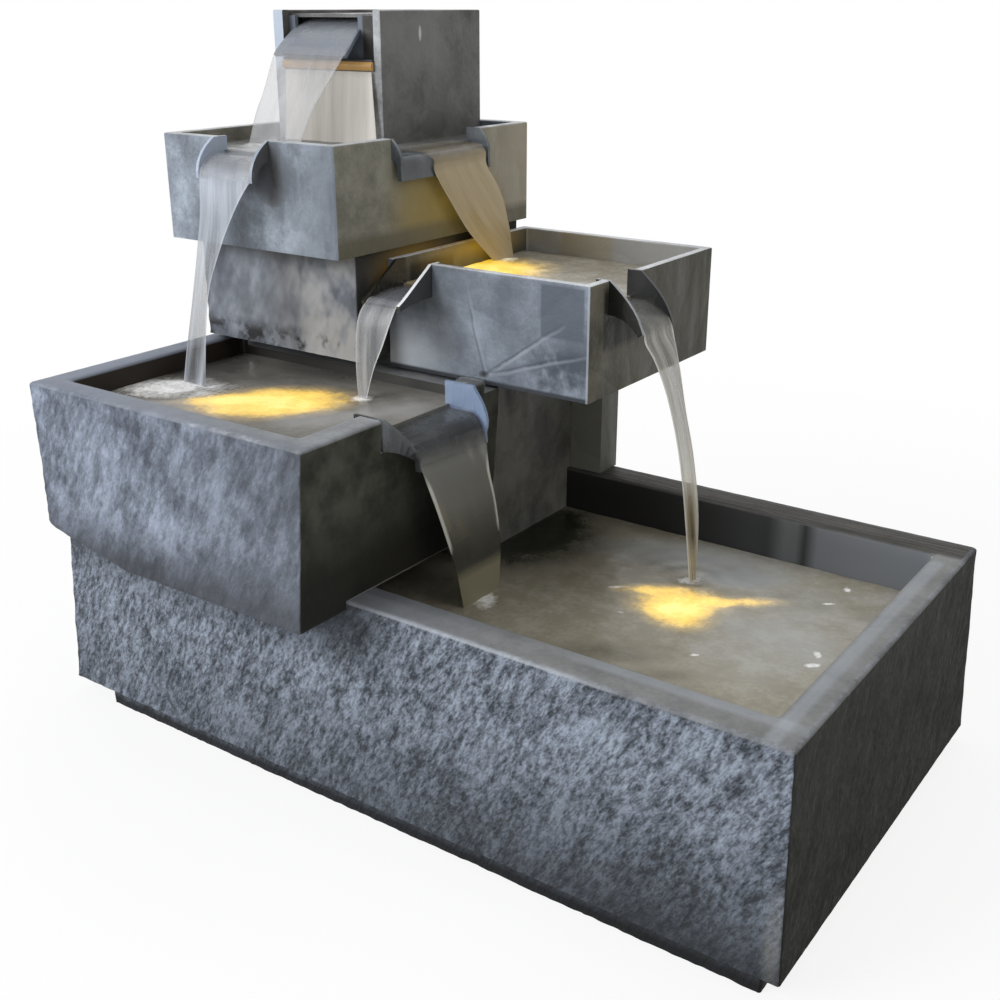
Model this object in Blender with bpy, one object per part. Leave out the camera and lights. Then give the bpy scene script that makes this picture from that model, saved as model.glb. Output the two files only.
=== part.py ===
"""Cascading garden water feature: five tiers of stone-effect resin castings with curved pouring spouts.

Metres, +Z up, the front faces -Y and the long trough runs along X. The origin lies on the ground, under the
middle of the whole outline. Water is lifted by a pump in the tower, through a hose to the top tank, and runs
back down over the spouts from bowl to bowl.
"""

import math

import bmesh
import bpy
from mathutils import Matrix, Vector

# Fits
SEAT_GAP = 0.0003
RUNNING_CLEARANCE = 0.0003

# Trough: the long basin at the bottom
TROUGH_LENGTH = 0.700
TROUGH_DEPTH = 0.383
TROUGH_HEIGHT = 0.187
TROUGH_FLARE = 0.007
TROUGH_FLOOR = 0.045
TROUGH_RIM_FRONT = 0.034
TROUGH_RIM_RIGHT = 0.026
TROUGH_DECK_LEFT = 0.0547
PLINTH_HEIGHT = 0.0155
PLINTH_INSET = 0.004
PLINTH_INSET_RIGHT = 0.014
PLINTH_INSET_LEFT = 0.047

# Lower bowl: hangs over the front of the trough, and its lip reaches down in front of the trough's rim
LOWER_OVERHANG = 0.052
LOWER_SETBACK_LEFT = 0.047
LOWER_LENGTH = 0.303
LOWER_BACK = 0.189
LOWER_HEIGHT = 0.1367
LOWER_WALL = 0.024
LOWER_FLOOR = 0.038
LOWER_DRAFT_RIGHT = 0.0115
LOWER_LIP_DROP = 0.0105
LOWER_CORNER_RISE = 0.020
LOWER_CORNER_REACH = 0.095
LOWER_FOOT_ROUND = 0.007
LOWER_BACK_DROP = 0.0105

# Tower: hollow pedestal that stands in the trough and holds the pump
TOWER_LENGTH = 0.260
TOWER_WALL = 0.008
TOWER_HEIGHT = 0.2824
TOWER_STEP = 0.011
PILASTER_WIDTH = 0.035
TOWER_ARCH_WIDTH = 0.050
TOWER_ARCH_HEIGHT = 0.030

# Stone riser: rough block under the upper bowl
RISER_FRONT = 0.137
RISER_LENGTH = 0.1835
RISER_HEIGHT = 0.0897
RISER_WALL = 0.012
RISER_SETBACK = 0.010

# Right bowl
RIGHT_BOWL_FRONT = 0.177
RIGHT_BOWL_LENGTH = 0.2012
RIGHT_BOWL_HEIGHT = 0.093
RIGHT_BOWL_WALL = 0.008
RIGHT_BOWL_FLOOR = 0.012

# Upper bowl
UPPER_FRONT = 0.113
UPPER_LAP_LEFT = 0.009
UPPER_LENGTH = 0.197
UPPER_HEIGHT = 0.089
UPPER_WALL = 0.010
UPPER_FLOOR = 0.012

# Top tank
TANK_INSET_LEFT = 0.024
TANK_LENGTH = 0.125
TANK_FRONT = 0.230
TANK_HEIGHT = 0.1747
TANK_WALL = 0.008
TANK_SKIRT = 0.085
TANK_FLOOR = 0.008
TANK_JAMB_LEFT = 0.012
TANK_NOTCH_DEPTH = 0.049

# Spouts: curved chutes set in notches of the bowls' walls
CHUTE_THICKNESS = 0.003
CURB_THICKNESS = 0.003
CURB_AT_LIP = 0.0015
CURB_TAPER_POWER = 1.3
CHUTE_TAIL = 0.004

# Where each spout sits along its wall, how far its chute lies below the rim, its radius and its sweep, and
# on two spouts also the straight drop below the arc and how far each side draws in towards the lip
LOWER_SIDE_SPOUT = {
    "span": (0.035, 0.150),
    "depth": 0.0215,
    "radius": 0.015,
    "sweep": 86.0,
    "drop": 0.008,
    "draw_in": (0.022, 0.006),
}
RIGHT_SIDE_SPOUT = {"span": (0.205, 0.257), "depth": 0.0240, "radius": 0.036, "sweep": 56.0}
RIGHT_FRONT_SPOUT = {"span": (0.0, 0.040), "depth": 0.0240, "radius": 0.19, "sweep": 13.0}
UPPER_SIDE_SPOUT = {
    "span": (0.1825, 0.3075),
    "depth": 0.014,
    "radius": 0.008,
    "sweep": 86.0,
    "drop": 0.012,
}
UPPER_FRONT_SPOUT = {"span": (0.061, 0.126), "depth": 0.014, "radius": 0.019, "sweep": 86.0}

# Top spillway
SPILLWAY_CREST = 0.055
SPILLWAY_RADIUS = 0.104
SPILLWAY_SWEEP = 46.0
SPILLWAY_LEFT_MARGIN = 0.006
SPILLWAY_RIGHT_MARGIN = 0.015
SPILLWAY_TAPER = 0.025
SPILLWAY_TAPER_POWER = 1.5
SPILLWAY_BELOW_RIM = 0.0045
WEIR_THICKNESS = 0.004
WEIR_LAP = 0.0035

# Light bar under the spillway
BAR_HEIGHT = 0.009
BAR_DEPTH = 0.0085
BAR_LENS_DEPTH = 0.0035

# Lamps: the base lamp's place is counted from the trough's right end, the others' from their bowls' left
BASE_LAMP_FROM_RIGHT = 0.188
BASE_LAMP_SETBACK = 0.213
LOWER_LAMP_FROM_LEFT = 0.169
LOWER_LAMP_SETBACK = 0.055
RIGHT_LAMP_FROM_LEFT = 0.0412
RIGHT_LAMP_SETBACK = 0.257
LAMP_RADIUS = 0.021
LAMP_HEIGHT = 0.014
LAMP_LENS_RADIUS = 0.0165
LAMP_LENS_SEAT = 0.006
LAMP_LENS_CROWN = 0.004
LAMP_STEM_RADIUS = 0.0055
LAMP_NUT_RADIUS = 0.010
LAMP_NUT_HEIGHT = 0.006

# Hose and what it passes through
HOSE_RADIUS = 0.0095
HOSE_BORE_RADIUS = 0.0065
BARB_LENGTH = 0.018
BARB_WALL = 0.002
CLAMP_THICKNESS = 0.0012
CLAMP_WIDTH = 0.009
GROMMET_LIP = 0.004
BULKHEAD_FLANGE_RADIUS = 0.014
BULKHEAD_FLANGE_THICKNESS = 0.003
BULKHEAD_NUT_RADIUS = 0.014
BULKHEAD_NUT_HEIGHT = 0.007

# Pump
PUMP_FROM_BACK = 0.073
PUMP_MOTOR_LENGTH = 0.042
PUMP_WIDTH = 0.044
PUMP_BODY_HEIGHT = 0.046
PUMP_FOOT_HEIGHT = 0.008
FOOT_CUP_RADIUS = 0.007
FOOT_LIP_WIDTH = 0.0015
FOOT_STEM_RADIUS = 0.0035
VOLUTE_LENGTH = 0.034
CHAMBER_RADIUS = 0.0165
CHAMBER_DEPTH = 0.020
IMPELLER_RADIUS = 0.0135
IMPELLER_WIDTH = 0.011
IMPELLER_BLADES = 6
SHAFT_RADIUS = 0.0015
COVER_THICKNESS = 0.0025
COVER_EYE_RADIUS = 0.007
STRAINER_LENGTH = 0.026
STRAINER_WALL = 0.0025
STRAINER_SLOTS = 6
STRAINER_SLOT_WIDTH = 0.0028
DIAL_RADIUS = 0.012
DIAL_THICKNESS = 0.003
DIAL_PIN_RADIUS = 0.003

# Rear access door
DOOR_FROM_LEFT = 0.057
DOOR_WIDTH = 0.150
DOOR_BOTTOM = 0.200
DOOR_HEIGHT = 0.100
DOOR_LAP = 0.006
DOOR_THICKNESS = 0.0045
FINGER_PULL_RADIUS = 0.011
SCREW_RADIUS = 0.0025
SCREW_HEAD_RADIUS = 0.005
SCREW_HEAD_HEIGHT = 0.0018
SCREW_INSET = 0.011

# Cable gland
GLAND_FROM_LEFT = 0.0285
GLAND_Z = 0.250
GLAND_RADIUS = 0.008
GLAND_BORE_RADIUS = 0.0035
GLAND_HEAD_RADIUS = 0.0115
GLAND_HEAD_LENGTH = 0.0068
GLAND_NUT_THICKNESS = 0.005

# Lead from the pump to the gland
LEAD_RADIUS = 0.003
LEAD_STATIONS = 28

# Drain plug
DRAIN_FROM_RIGHT = 0.100
DRAIN_Z = 0.060
DRAIN_RADIUS = 0.009
DRAIN_HEAD_RADIUS = 0.0145
DRAIN_HEAD_THICKNESS = 0.005
DRAIN_SEAL_THICKNESS = 0.0018
DRAIN_RECESS = 0.002

# Edges and facets
EDGE_OUTER = 0.003
EDGE_THIN = 0.0012
CORNER_STEPS = 2
ROUND_FACETS = 24
SMALL_FACETS = 16
TINY_FACETS = 12
ARC_STEPS = 8

# Derived levels and planes
FRONT = LOWER_OVERHANG - (TROUGH_DEPTH + TROUGH_FLARE + LOWER_OVERHANG) / 2
BACK = FRONT + TROUGH_DEPTH
HALF_LENGTH = TROUGH_LENGTH / 2
RIM_SEAT = TROUGH_HEIGHT + SEAT_GAP
DRAIN_X = HALF_LENGTH - DRAIN_FROM_RIGHT
LOWER_LEFT = -HALF_LENGTH + LOWER_SETBACK_LEFT
LOWER_RIGHT = LOWER_LEFT + LOWER_LENGTH
TOWER_LEFT = -HALF_LENGTH + TROUGH_DECK_LEFT + SEAT_GAP
TOWER_RIGHT = TOWER_LEFT + TOWER_LENGTH
RISER_RIGHT = TOWER_LEFT + RISER_LENGTH
DOOR_LEFT = TOWER_LEFT + DOOR_FROM_LEFT
GLAND_X = TOWER_LEFT + GLAND_FROM_LEFT
LOWER_RIM = RIM_SEAT + LOWER_HEIGHT
TOWER_FRONT = FRONT + LOWER_BACK + SEAT_GAP
TOWER_BASIN_BACK = BACK - TROUGH_RIM_FRONT - SEAT_GAP
TOWER_FOOT = TROUGH_FLOOR + SEAT_GAP
TOWER_TOP = TOWER_FOOT + TOWER_HEIGHT
TOWER_LOW_TOP = TOWER_TOP - TOWER_STEP
RISER_FOOT = TOWER_TOP + SEAT_GAP
RISER_TOP = RISER_FOOT + RISER_HEIGHT
RISER_BACK = BACK - RISER_SETBACK
RIGHT_BOWL_LEFT = RISER_RIGHT + SEAT_GAP
RIGHT_BOWL_RIGHT = RIGHT_BOWL_LEFT + RIGHT_BOWL_LENGTH
RIGHT_BOWL_FOOT = TOWER_LOW_TOP + SEAT_GAP
RIGHT_BOWL_RIM = RIGHT_BOWL_FOOT + RIGHT_BOWL_HEIGHT
UPPER_LEFT = TOWER_LEFT - UPPER_LAP_LEFT
UPPER_RIGHT = UPPER_LEFT + UPPER_LENGTH
UPPER_FOOT = RISER_TOP + SEAT_GAP
UPPER_RIM = UPPER_FOOT + UPPER_HEIGHT
UPPER_FLOOR_TOP = UPPER_FOOT + UPPER_FLOOR
TANK_LEFT = UPPER_LEFT + TANK_INSET_LEFT
TANK_RIGHT = TANK_LEFT + TANK_LENGTH
TANK_BACK = BACK - UPPER_WALL - SEAT_GAP
TANK_FOOT = UPPER_FLOOR_TOP + SEAT_GAP
TANK_RIM = TANK_FOOT + TANK_HEIGHT
TANK_FLOOR_BOTTOM = TANK_FOOT + TANK_SKIRT
TANK_FLOOR_TOP = TANK_FLOOR_BOTTOM + TANK_FLOOR
TANK_SILL = TANK_RIM - TANK_NOTCH_DEPTH
PUMP_X = (TANK_LEFT + TANK_RIGHT) / 2
PUMP_Y = BACK - PUMP_FROM_BACK


def material(name, colour, roughness, metallic=0.0, glow=0.0):
    """A Principled finish, shared by every piece that asks for the same name."""
    found = bpy.data.materials.get(name)
    if found:
        return found
    made = bpy.data.materials.new(name)
    made.use_nodes = True
    shader = made.node_tree.nodes["Principled BSDF"]
    shader.inputs["Base Color"].default_value = (*colour, 1.0)
    shader.inputs["Roughness"].default_value = roughness
    shader.inputs["Metallic"].default_value = metallic
    if glow:
        shader.inputs["Emission Color"].default_value = (*colour, 1.0)
        shader.inputs["Emission Strength"].default_value = glow
    return made


def rough_stone():
    return material("rough_stone_resin", (0.16, 0.17, 0.19), 0.85)


def smooth_stone():
    return material("smooth_stone_resin", (0.13, 0.135, 0.14), 0.6)


def dark_plastic():
    return material("black_plastic", (0.02, 0.02, 0.022), 0.45)


def rubber():
    return material("black_rubber", (0.015, 0.015, 0.015), 0.8)


def steel():
    return material("stainless_steel", (0.55, 0.55, 0.55), 0.3, 1.0)


def amber_lens():
    return material("amber_lens", (1.0, 0.62, 0.12), 0.2, 0.0, 3.0)


def add_piece(name, mesh, finish, origin=(0.0, 0.0, 0.0)):
    """Puts a mesh given in world coordinates into an object whose origin is at the given point."""
    mesh.transform(Matrix.Translation(-Vector(origin)))
    piece = bpy.data.objects.new(name, mesh)
    piece.location = origin
    piece.data.materials.append(finish)
    bpy.context.scene.collection.objects.link(piece)
    return piece


def finish_mesh(name, shape, smooth_angle=None):
    """Turns a bmesh into a mesh that faces out, smooth where faces meet at less than the angle."""
    shape.normal_update()
    bmesh.ops.recalc_face_normals(shape, faces=shape.faces)
    mesh = bpy.data.meshes.new(name)
    shape.to_mesh(mesh)
    shape.free()
    if smooth_angle is not None:
        mesh.shade_smooth()
        mesh.set_sharp_from_angle(angle=math.radians(smooth_angle))
    return mesh


def rounded_ring(x, y, z, radius):
    """Corner points of a level rectangle with rounded corners, anticlockwise from the front left."""
    (x0, x1), (y0, y1) = x, y
    centres = [
        (x0 + radius, y0 + radius, 180),
        (x1 - radius, y0 + radius, 270),
        (x1 - radius, y1 - radius, 0),
        (x0 + radius, y1 - radius, 90),
    ]
    points = []
    for cx, cy, start in centres:
        for step in range(CORNER_STEPS + 1):
            turn = math.radians(start + 90 * step / CORNER_STEPS)
            points.append((cx + radius * math.cos(turn), cy + radius * math.sin(turn), z))
    return points


def loft(rings):
    """A closed shape through rings of equally many points, with a flat cap on the first and the last."""
    shape = bmesh.new()
    loops = [[shape.verts.new(point) for point in ring] for ring in rings]
    count = len(loops[0])
    for lower, upper in zip(loops, loops[1:]):
        for i in range(count):
            j = (i + 1) % count
            shape.faces.new((lower[i], lower[j], upper[j], upper[i]))
    shape.faces.new(reversed(loops[0]))
    shape.faces.new(loops[-1])
    return shape


def vessel(x, y, foot, rim, wall, floor, corner, edge, draft_right=0.0, foot_round=0.0):
    """Rings of an open rectangular bowl: up the outside, over a rounded rim and down the inside.

    wall is one thickness or (left, right, front, back), draft_right leans the right wall in at its foot, and
    foot_round is the radius of the lower edge."""
    left, right, front, back = wall if isinstance(wall, tuple) else (wall,) * 4
    (x0, x1), (y0, y1) = x, y

    def outer(z, inset, lean=0.0):
        return rounded_ring(
            (x0 + inset, x1 - inset - lean), (y0 + inset, y1 - inset), z, corner
        )

    def inner(z, inset):
        return rounded_ring(
            (x0 + left - inset, x1 - right + inset),
            (y0 + front - inset, y1 - back + inset),
            z,
            corner + edge - inset,
        )

    def lean_at(z):
        return draft_right * (rim - z) / (rim - foot)

    quarter = 1 - math.sqrt(0.5)
    soft = edge * quarter
    lower_edge = [outer(foot, 0.0, draft_right)]
    if foot_round:
        lower_edge = [
            outer(foot, foot_round, draft_right),
            outer(foot + foot_round * quarter, foot_round * quarter, lean_at(foot)),
            outer(foot + foot_round, 0.0, lean_at(foot + foot_round)),
        ]
    return lower_edge + [
        outer(rim - edge, 0.0, lean_at(rim - edge)),
        outer(rim - soft, soft),
        outer(rim, edge),
        inner(rim, edge),
        inner(rim - soft, soft),
        inner(rim - edge, 0.0),
        inner(floor, 0.0),
    ]


def block(x, y, z):
    """A plain box between pairs of limits."""
    shape = bmesh.new()
    bmesh.ops.create_cube(shape, size=1.0)
    for vert in shape.verts:
        vert.co = Vector(
            [sum(span) / 2 + part * (span[1] - span[0]) for part, span in zip(vert.co, (x, y, z))]
        )
    return shape


AXES = {
    "X": Matrix(((0, 0, 1), (1, 0, 0), (0, 1, 0))).to_4x4(),
    "Y": Matrix(((0, 1, 0), (0, 0, 1), (1, 0, 0))).to_4x4(),
    "Z": Matrix.Identity(4),
}


def turned(profile, centre, axis="Z", facets=ROUND_FACETS):
    """A solid of revolution. The profile lists (radius, distance along the axis), and may touch the axis."""
    shape = bmesh.new()
    verts = [shape.verts.new((radius, 0.0, along)) for radius, along in profile]
    edges = [shape.edges.new(pair) for pair in zip(verts, verts[1:])]
    if profile[0][0] > 0:
        edges.append(shape.edges.new((verts[-1], verts[0])))
    bmesh.ops.spin(
        shape,
        geom=verts + edges,
        cent=(0, 0, 0),
        axis=(0, 0, 1),
        angle=math.tau,
        steps=facets,
        use_duplicate=False,
    )
    bmesh.ops.remove_doubles(shape, verts=shape.verts, dist=1e-6)
    shape.transform(Matrix.Translation(centre) @ AXES[axis])
    return shape


def rod(radius, start, end, centre, axis="Z", facets=ROUND_FACETS):
    """A solid cylinder between two distances along an axis through the centre."""
    return turned([(0, start), (radius, start), (radius, end), (0, end)], centre, axis, facets)


def pipe(radius, bore, start, end, centre, axis="Z", facets=ROUND_FACETS):
    """A tube open at both ends."""
    return turned(
        [(bore, start), (radius, start), (radius, end), (bore, end)], centre, axis, facets
    )


def hex_nut(name, radius, thread, start, end, centre, axis="Z"):
    """A hexagonal locknut with a round bore that clears a thread of the given radius."""
    prism = finish_mesh(name, rod(radius, start, end, centre, axis, 6))
    nut = add_piece(name, prism, dark_plastic(), centre)
    past = end - start
    bore = thread + RUNNING_CLEARANCE
    combine(nut, rod(bore, start - past, end + past, centre, axis, SMALL_FACETS))


def extruded(outline, axis, start, end):
    """A flat outline carried along X or Z. It lists (y, z) points for X and (x, y) points for Z."""
    if axis == "X":
        rings = [[(at, y, z) for y, z in outline] for at in (start, end)]
    else:
        rings = [[(x, y, at) for x, y in outline] for at in (start, end)]
    return loft(rings)


def combine(piece, shape, operation="DIFFERENCE"):
    """Cuts a hidden shape from a piece, or joins it on."""
    name = f"{piece.name}_{operation.lower()}_{len(piece.modifiers)}"
    helper = add_piece(name, finish_mesh(name, shape), dark_plastic())
    helper.hide_render = True
    helper.display_type = "WIRE"
    modifier = piece.modifiers.new(name, "BOOLEAN")
    modifier.operation = operation
    modifier.object = helper


def make_trough():
    """Basin with flared outer walls on a moulded plinth, and a broad deck at its left for the lower bowl."""
    x = (-HALF_LENGTH, HALF_LENGTH)
    y = (FRONT, BACK)
    wall = (TROUGH_DECK_LEFT, TROUGH_RIM_RIGHT, TROUGH_RIM_FRONT, TROUGH_RIM_FRONT)
    rings = vessel(x, y, PLINTH_HEIGHT, TROUGH_HEIGHT, wall, TROUGH_FLOOR, EDGE_OUTER, EDGE_OUTER)
    flared = rounded_ring(
        (x[0] - TROUGH_FLARE, x[1] + TROUGH_FLARE),
        (y[0] - TROUGH_FLARE, y[1] + TROUGH_FLARE),
        PLINTH_HEIGHT,
        EDGE_OUTER,
    )
    plinth_x = (
        x[0] - TROUGH_FLARE + PLINTH_INSET_LEFT,
        x[1] + TROUGH_FLARE - PLINTH_INSET_RIGHT,
    )
    plinth_y = (y[0] - TROUGH_FLARE + PLINTH_INSET, y[1] + TROUGH_FLARE - PLINTH_INSET)
    plinth = [rounded_ring(plinth_x, plinth_y, z, EDGE_OUTER) for z in (0.0, PLINTH_HEIGHT)]
    mesh = finish_mesh("base_trough", loft(plinth + [flared] + rings[1:]))
    trough = add_piece("base_trough", mesh, rough_stone(), (0.0, (FRONT + BACK) / 2, 0.0))
    outside = TROUGH_RIM_FRONT + TROUGH_FLARE
    centre = (DRAIN_X, BACK, DRAIN_Z)
    bore = rod(DRAIN_RADIUS, -2 * TROUGH_RIM_FRONT, outside, centre, "Y")
    combine(trough, bore)
    recess = rod(DRAIN_HEAD_RADIUS + RUNNING_CLEARANCE * 2, -DRAIN_RECESS, outside, centre, "Y")
    combine(trough, recess)


def make_lower_bowl():
    """Rough-faced bowl that hooks over the trough's rim. Its lip rises towards its front left corner."""
    x = (LOWER_LEFT, LOWER_RIGHT)
    y = (FRONT - LOWER_OVERHANG, FRONT + LOWER_BACK)
    foot = RIM_SEAT - LOWER_LIP_DROP
    rings = vessel(
        x,
        y,
        foot,
        LOWER_RIM,
        LOWER_WALL,
        RIM_SEAT + LOWER_FLOOR,
        EDGE_OUTER,
        EDGE_OUTER,
        LOWER_DRAFT_RIGHT,
        LOWER_FOOT_ROUND,
    )
    shape = loft(rings)
    lip_back = FRONT - TROUGH_FLARE * LOWER_LIP_DROP / TROUGH_HEIGHT - 2 * SEAT_GAP
    lip_top = foot + LOWER_FOOT_ROUND + SEAT_GAP
    near_foot = {vert for vert in shape.verts if vert.co.z < lip_top}
    across = ((x[0] + LOWER_CORNER_REACH, 0, 0), (1, 0, 0))
    along = ((0, lip_back, 0), (0, 1, 0))
    for place, direction in (across, along):
        faces = [face for face in shape.faces if near_foot.intersection(face.verts)]
        edges = {edge for face in faces for edge in face.edges}
        verts = {vert for face in faces for vert in face.verts}
        bmesh.ops.bisect_plane(
            shape, geom=[*verts, *edges, *faces], plane_co=place, plane_no=direction
        )
        near_foot = {vert for vert in shape.verts if vert.co.z < lip_top}
    for vert in near_foot:
        from_left = max(0.0, 1 - (vert.co.x - x[0]) / LOWER_CORNER_REACH)
        from_front = max(0.0, 1 - (vert.co.y - y[0]) / (lip_back - y[0]))
        vert.co.z += LOWER_CORNER_RISE * from_left * from_front
    bmesh.ops.triangulate(
        shape, faces=[face for face in shape.faces if near_foot.intersection(face.verts)]
    )
    mesh = finish_mesh("lower_bowl", shape)
    bowl = add_piece("lower_bowl", mesh, rough_stone(), (x[0], y[0], RIM_SEAT))
    reach = LOWER_WALL + EDGE_OUTER
    seat = block((x[0] - reach, x[1] + reach), (lip_back, y[1] + reach), (foot - reach, RIM_SEAT))
    combine(bowl, seat)
    combine(
        bowl,
        block(
            (x[0] - reach, x[1] + reach),
            (y[1] - LOWER_WALL, y[1] + reach),
            (LOWER_RIM - LOWER_BACK_DROP, LOWER_RIM + reach),
        ),
    )
    return bowl


def make_tower():
    """Hollow pedestal: it stands on the trough's floor, and its wider back rests on the trough's rim."""
    y0, y1, y2 = TOWER_FRONT, TOWER_BASIN_BACK, BACK
    profile = [
        (y0, TOWER_FOOT),
        (y1, TOWER_FOOT),
        (y1, RIM_SEAT),
        (y2, RIM_SEAT),
        (y2, TOWER_TOP),
        (y0, TOWER_TOP),
    ]
    tower = add_piece(
        "pump_tower",
        finish_mesh("pump_tower", extruded(profile, "X", TOWER_LEFT, TOWER_RIGHT)),
        smooth_stone(),
        ((TOWER_LEFT + TOWER_RIGHT) / 2, (y0 + y1) / 2, TOWER_FOOT),
    )
    t = TOWER_WALL
    hollow = [
        (y0 + t, TOWER_FOOT - t),
        (y1 - t, TOWER_FOOT - t),
        (y1 - t, RIM_SEAT + t),
        (y2 - t, RIM_SEAT + t),
        (y2 - t, TOWER_TOP + t),
        (y0 + t, TOWER_TOP + t),
    ]
    combine(tower, extruded(hollow, "X", TOWER_LEFT + t, TOWER_RIGHT - t))
    combine(
        tower,
        block(
            (TOWER_RIGHT - t / 2, TOWER_RIGHT + PILASTER_WIDTH),
            (y2 - TROUGH_RIM_FRONT + t / 2, y2),
            (RIM_SEAT, TOWER_LOW_TOP),
        ),
        "UNION",
    )
    combine(
        tower,
        block(
            (RISER_RIGHT, TOWER_RIGHT + PILASTER_WIDTH + t),
            (y0 - t, y2 + t),
            (TOWER_LOW_TOP, TOWER_TOP + t),
        ),
    )
    for centre, turn in (((TOWER_LEFT + TOWER_RIGHT) / 2, "front"), (PUMP_Y - PUMP_WIDTH, "left")):
        combine(tower, arch(centre, turn))
    combine(
        tower,
        block(
            (DOOR_LEFT, DOOR_LEFT + DOOR_WIDTH),
            (y2 - 2 * t, y2 + t),
            (DOOR_BOTTOM, DOOR_BOTTOM + DOOR_HEIGHT),
        ),
    )
    combine(
        tower,
        block(
            (DOOR_LEFT - DOOR_LAP, DOOR_LEFT + DOOR_WIDTH + DOOR_LAP),
            (y2 - DOOR_THICKNESS - SEAT_GAP, y2 + t),
            (DOOR_BOTTOM - DOOR_LAP, DOOR_BOTTOM + DOOR_HEIGHT + DOOR_LAP),
        ),
    )
    combine(tower, rod(GLAND_RADIUS + SEAT_GAP, -2 * t, t, (GLAND_X, y2, GLAND_Z), "Y"))
    c = 2 * EDGE_OUTER
    chamfer = [
        (TOWER_LEFT - c, y1 - 2 * c),
        (TOWER_LEFT + 2 * c, y1 + c),
        (TOWER_LEFT - c, y1 + c),
    ]
    combine(tower, extruded(chamfer, "Z", TOWER_FOOT - t, RIM_SEAT))


def arch(centre, side):
    """Cutter for a water inlet at the tower's foot: an arched doorway through one wall."""
    reach = TOWER_WALL * 2
    half = TOWER_ARCH_WIDTH / 2
    spring = TOWER_ARCH_HEIGHT - half / 2
    outline = [(centre - half, TOWER_FOOT - TOWER_WALL), (centre + half, TOWER_FOOT - TOWER_WALL)]
    for step in range(ARC_STEPS + 1):
        turn = math.pi * step / ARC_STEPS
        outline.append(
            (centre + half * math.cos(turn), TOWER_FOOT + spring + half / 2 * math.sin(turn))
        )
    if side == "left":
        return extruded(outline, "X", TOWER_LEFT - reach, TOWER_LEFT + reach)
    rings = [[(x, at, z) for x, z in outline] for at in (TOWER_FRONT - reach, TOWER_FRONT + reach)]
    return loft(rings)


def make_riser():
    """Rough block, hollow inside, open at the top where the upper bowl closes it."""
    x = (TOWER_LEFT, RISER_RIGHT)
    y = (FRONT + RISER_FRONT, RISER_BACK)
    rings = vessel(
        x, y, RISER_FOOT, RISER_TOP, RISER_WALL, RISER_FOOT + RISER_WALL, EDGE_OUTER, EDGE_THIN
    )
    mesh = finish_mesh("stone_riser", loft(rings))
    riser = add_piece("stone_riser", mesh, rough_stone(), (x[0], y[0], RISER_FOOT))
    hole = rod(HOSE_RADIUS + GROMMET_LIP, -RISER_WALL, 2 * RISER_WALL, (PUMP_X, PUMP_Y, RISER_FOOT))
    combine(riser, hole)


def make_right_bowl():
    x = (RIGHT_BOWL_LEFT, RIGHT_BOWL_RIGHT)
    y = (FRONT + RIGHT_BOWL_FRONT, BACK)
    floor = RIGHT_BOWL_FOOT + RIGHT_BOWL_FLOOR
    rings = vessel(
        x, y, RIGHT_BOWL_FOOT, RIGHT_BOWL_RIM, RIGHT_BOWL_WALL, floor, EDGE_THIN, EDGE_THIN
    )
    mesh = finish_mesh("right_bowl", loft(rings))
    return add_piece("right_bowl", mesh, smooth_stone(), (x[0], y[0], RIGHT_BOWL_FOOT))


def make_upper_bowl():
    x = (UPPER_LEFT, UPPER_RIGHT)
    y = (FRONT + UPPER_FRONT, BACK)
    rings = vessel(
        x, y, UPPER_FOOT, UPPER_RIM, UPPER_WALL, UPPER_FLOOR_TOP, EDGE_OUTER, EDGE_THIN
    )
    mesh = finish_mesh("upper_bowl", loft(rings))
    bowl = add_piece("upper_bowl", mesh, smooth_stone(), (x[0], y[0], UPPER_FOOT))
    hole = rod(grommet_groove() + SEAT_GAP, -UPPER_FLOOR, 2 * UPPER_FLOOR, (PUMP_X, PUMP_Y, UPPER_FOOT))
    combine(bowl, hole)
    return bowl


def make_top_tank():
    """Tall box with a floor half way up, a skirt below it and a wide notch in its front wall."""
    x = (TANK_LEFT, TANK_RIGHT)
    y = (FRONT + TANK_FRONT, TANK_BACK)
    rings = vessel(x, y, TANK_FOOT, TANK_RIM, TANK_WALL, TANK_FLOOR_TOP, EDGE_THIN, EDGE_THIN)
    mesh = finish_mesh("top_tank", loft(rings))
    tank = add_piece("top_tank", mesh, smooth_stone(), (x[0], y[0], TANK_FOOT))
    skirt_x = (x[0] + TANK_WALL, x[1] - TANK_WALL)
    skirt_y = (y[0] + TANK_WALL, y[1] - TANK_WALL)
    combine(tank, block(skirt_x, skirt_y, (TANK_FOOT - TANK_WALL, TANK_FLOOR_BOTTOM)))
    notch_x = (x[0] + TANK_JAMB_LEFT, x[1] - TANK_WALL)
    combine(
        tank,
        block(
            notch_x,
            (y[0] - TANK_WALL, y[0] + TANK_WALL * 1.5),
            (TANK_SILL, TANK_RIM + TANK_WALL),
        ),
    )
    hole = rod(
        HOSE_BORE_RADIUS + GROMMET_LIP / 2 + SEAT_GAP,
        -TANK_FLOOR,
        2 * TANK_FLOOR,
        (PUMP_X, PUMP_Y, TANK_FLOOR_BOTTOM),
    )
    combine(tank, hole)
    return tank


def chute_stations(tail, radius, sweep, curb, drop):
    """Points (outward, up, lean, curb height, share of the arc) down a chute: level, an arc, then a drop."""
    stations = [(-tail, 0.0, 0.0, curb, 0.0), (0.0, 0.0, 0.0, curb, 0.0)]
    steps = 7
    for step in range(1, steps + 1):
        share = step / steps
        turn = math.radians(sweep) * share
        height = CURB_AT_LIP + (curb - CURB_AT_LIP) * (1 - share) ** CURB_TAPER_POWER
        out, up = radius * math.sin(turn), radius * (math.cos(turn) - 1)
        stations.append((out, up, turn, height, share))
    if drop:
        out, up = out + drop * math.cos(turn), up - drop * math.sin(turn)
        stations.append((out, up, turn, CURB_AT_LIP, 1.0))
    return stations


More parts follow.
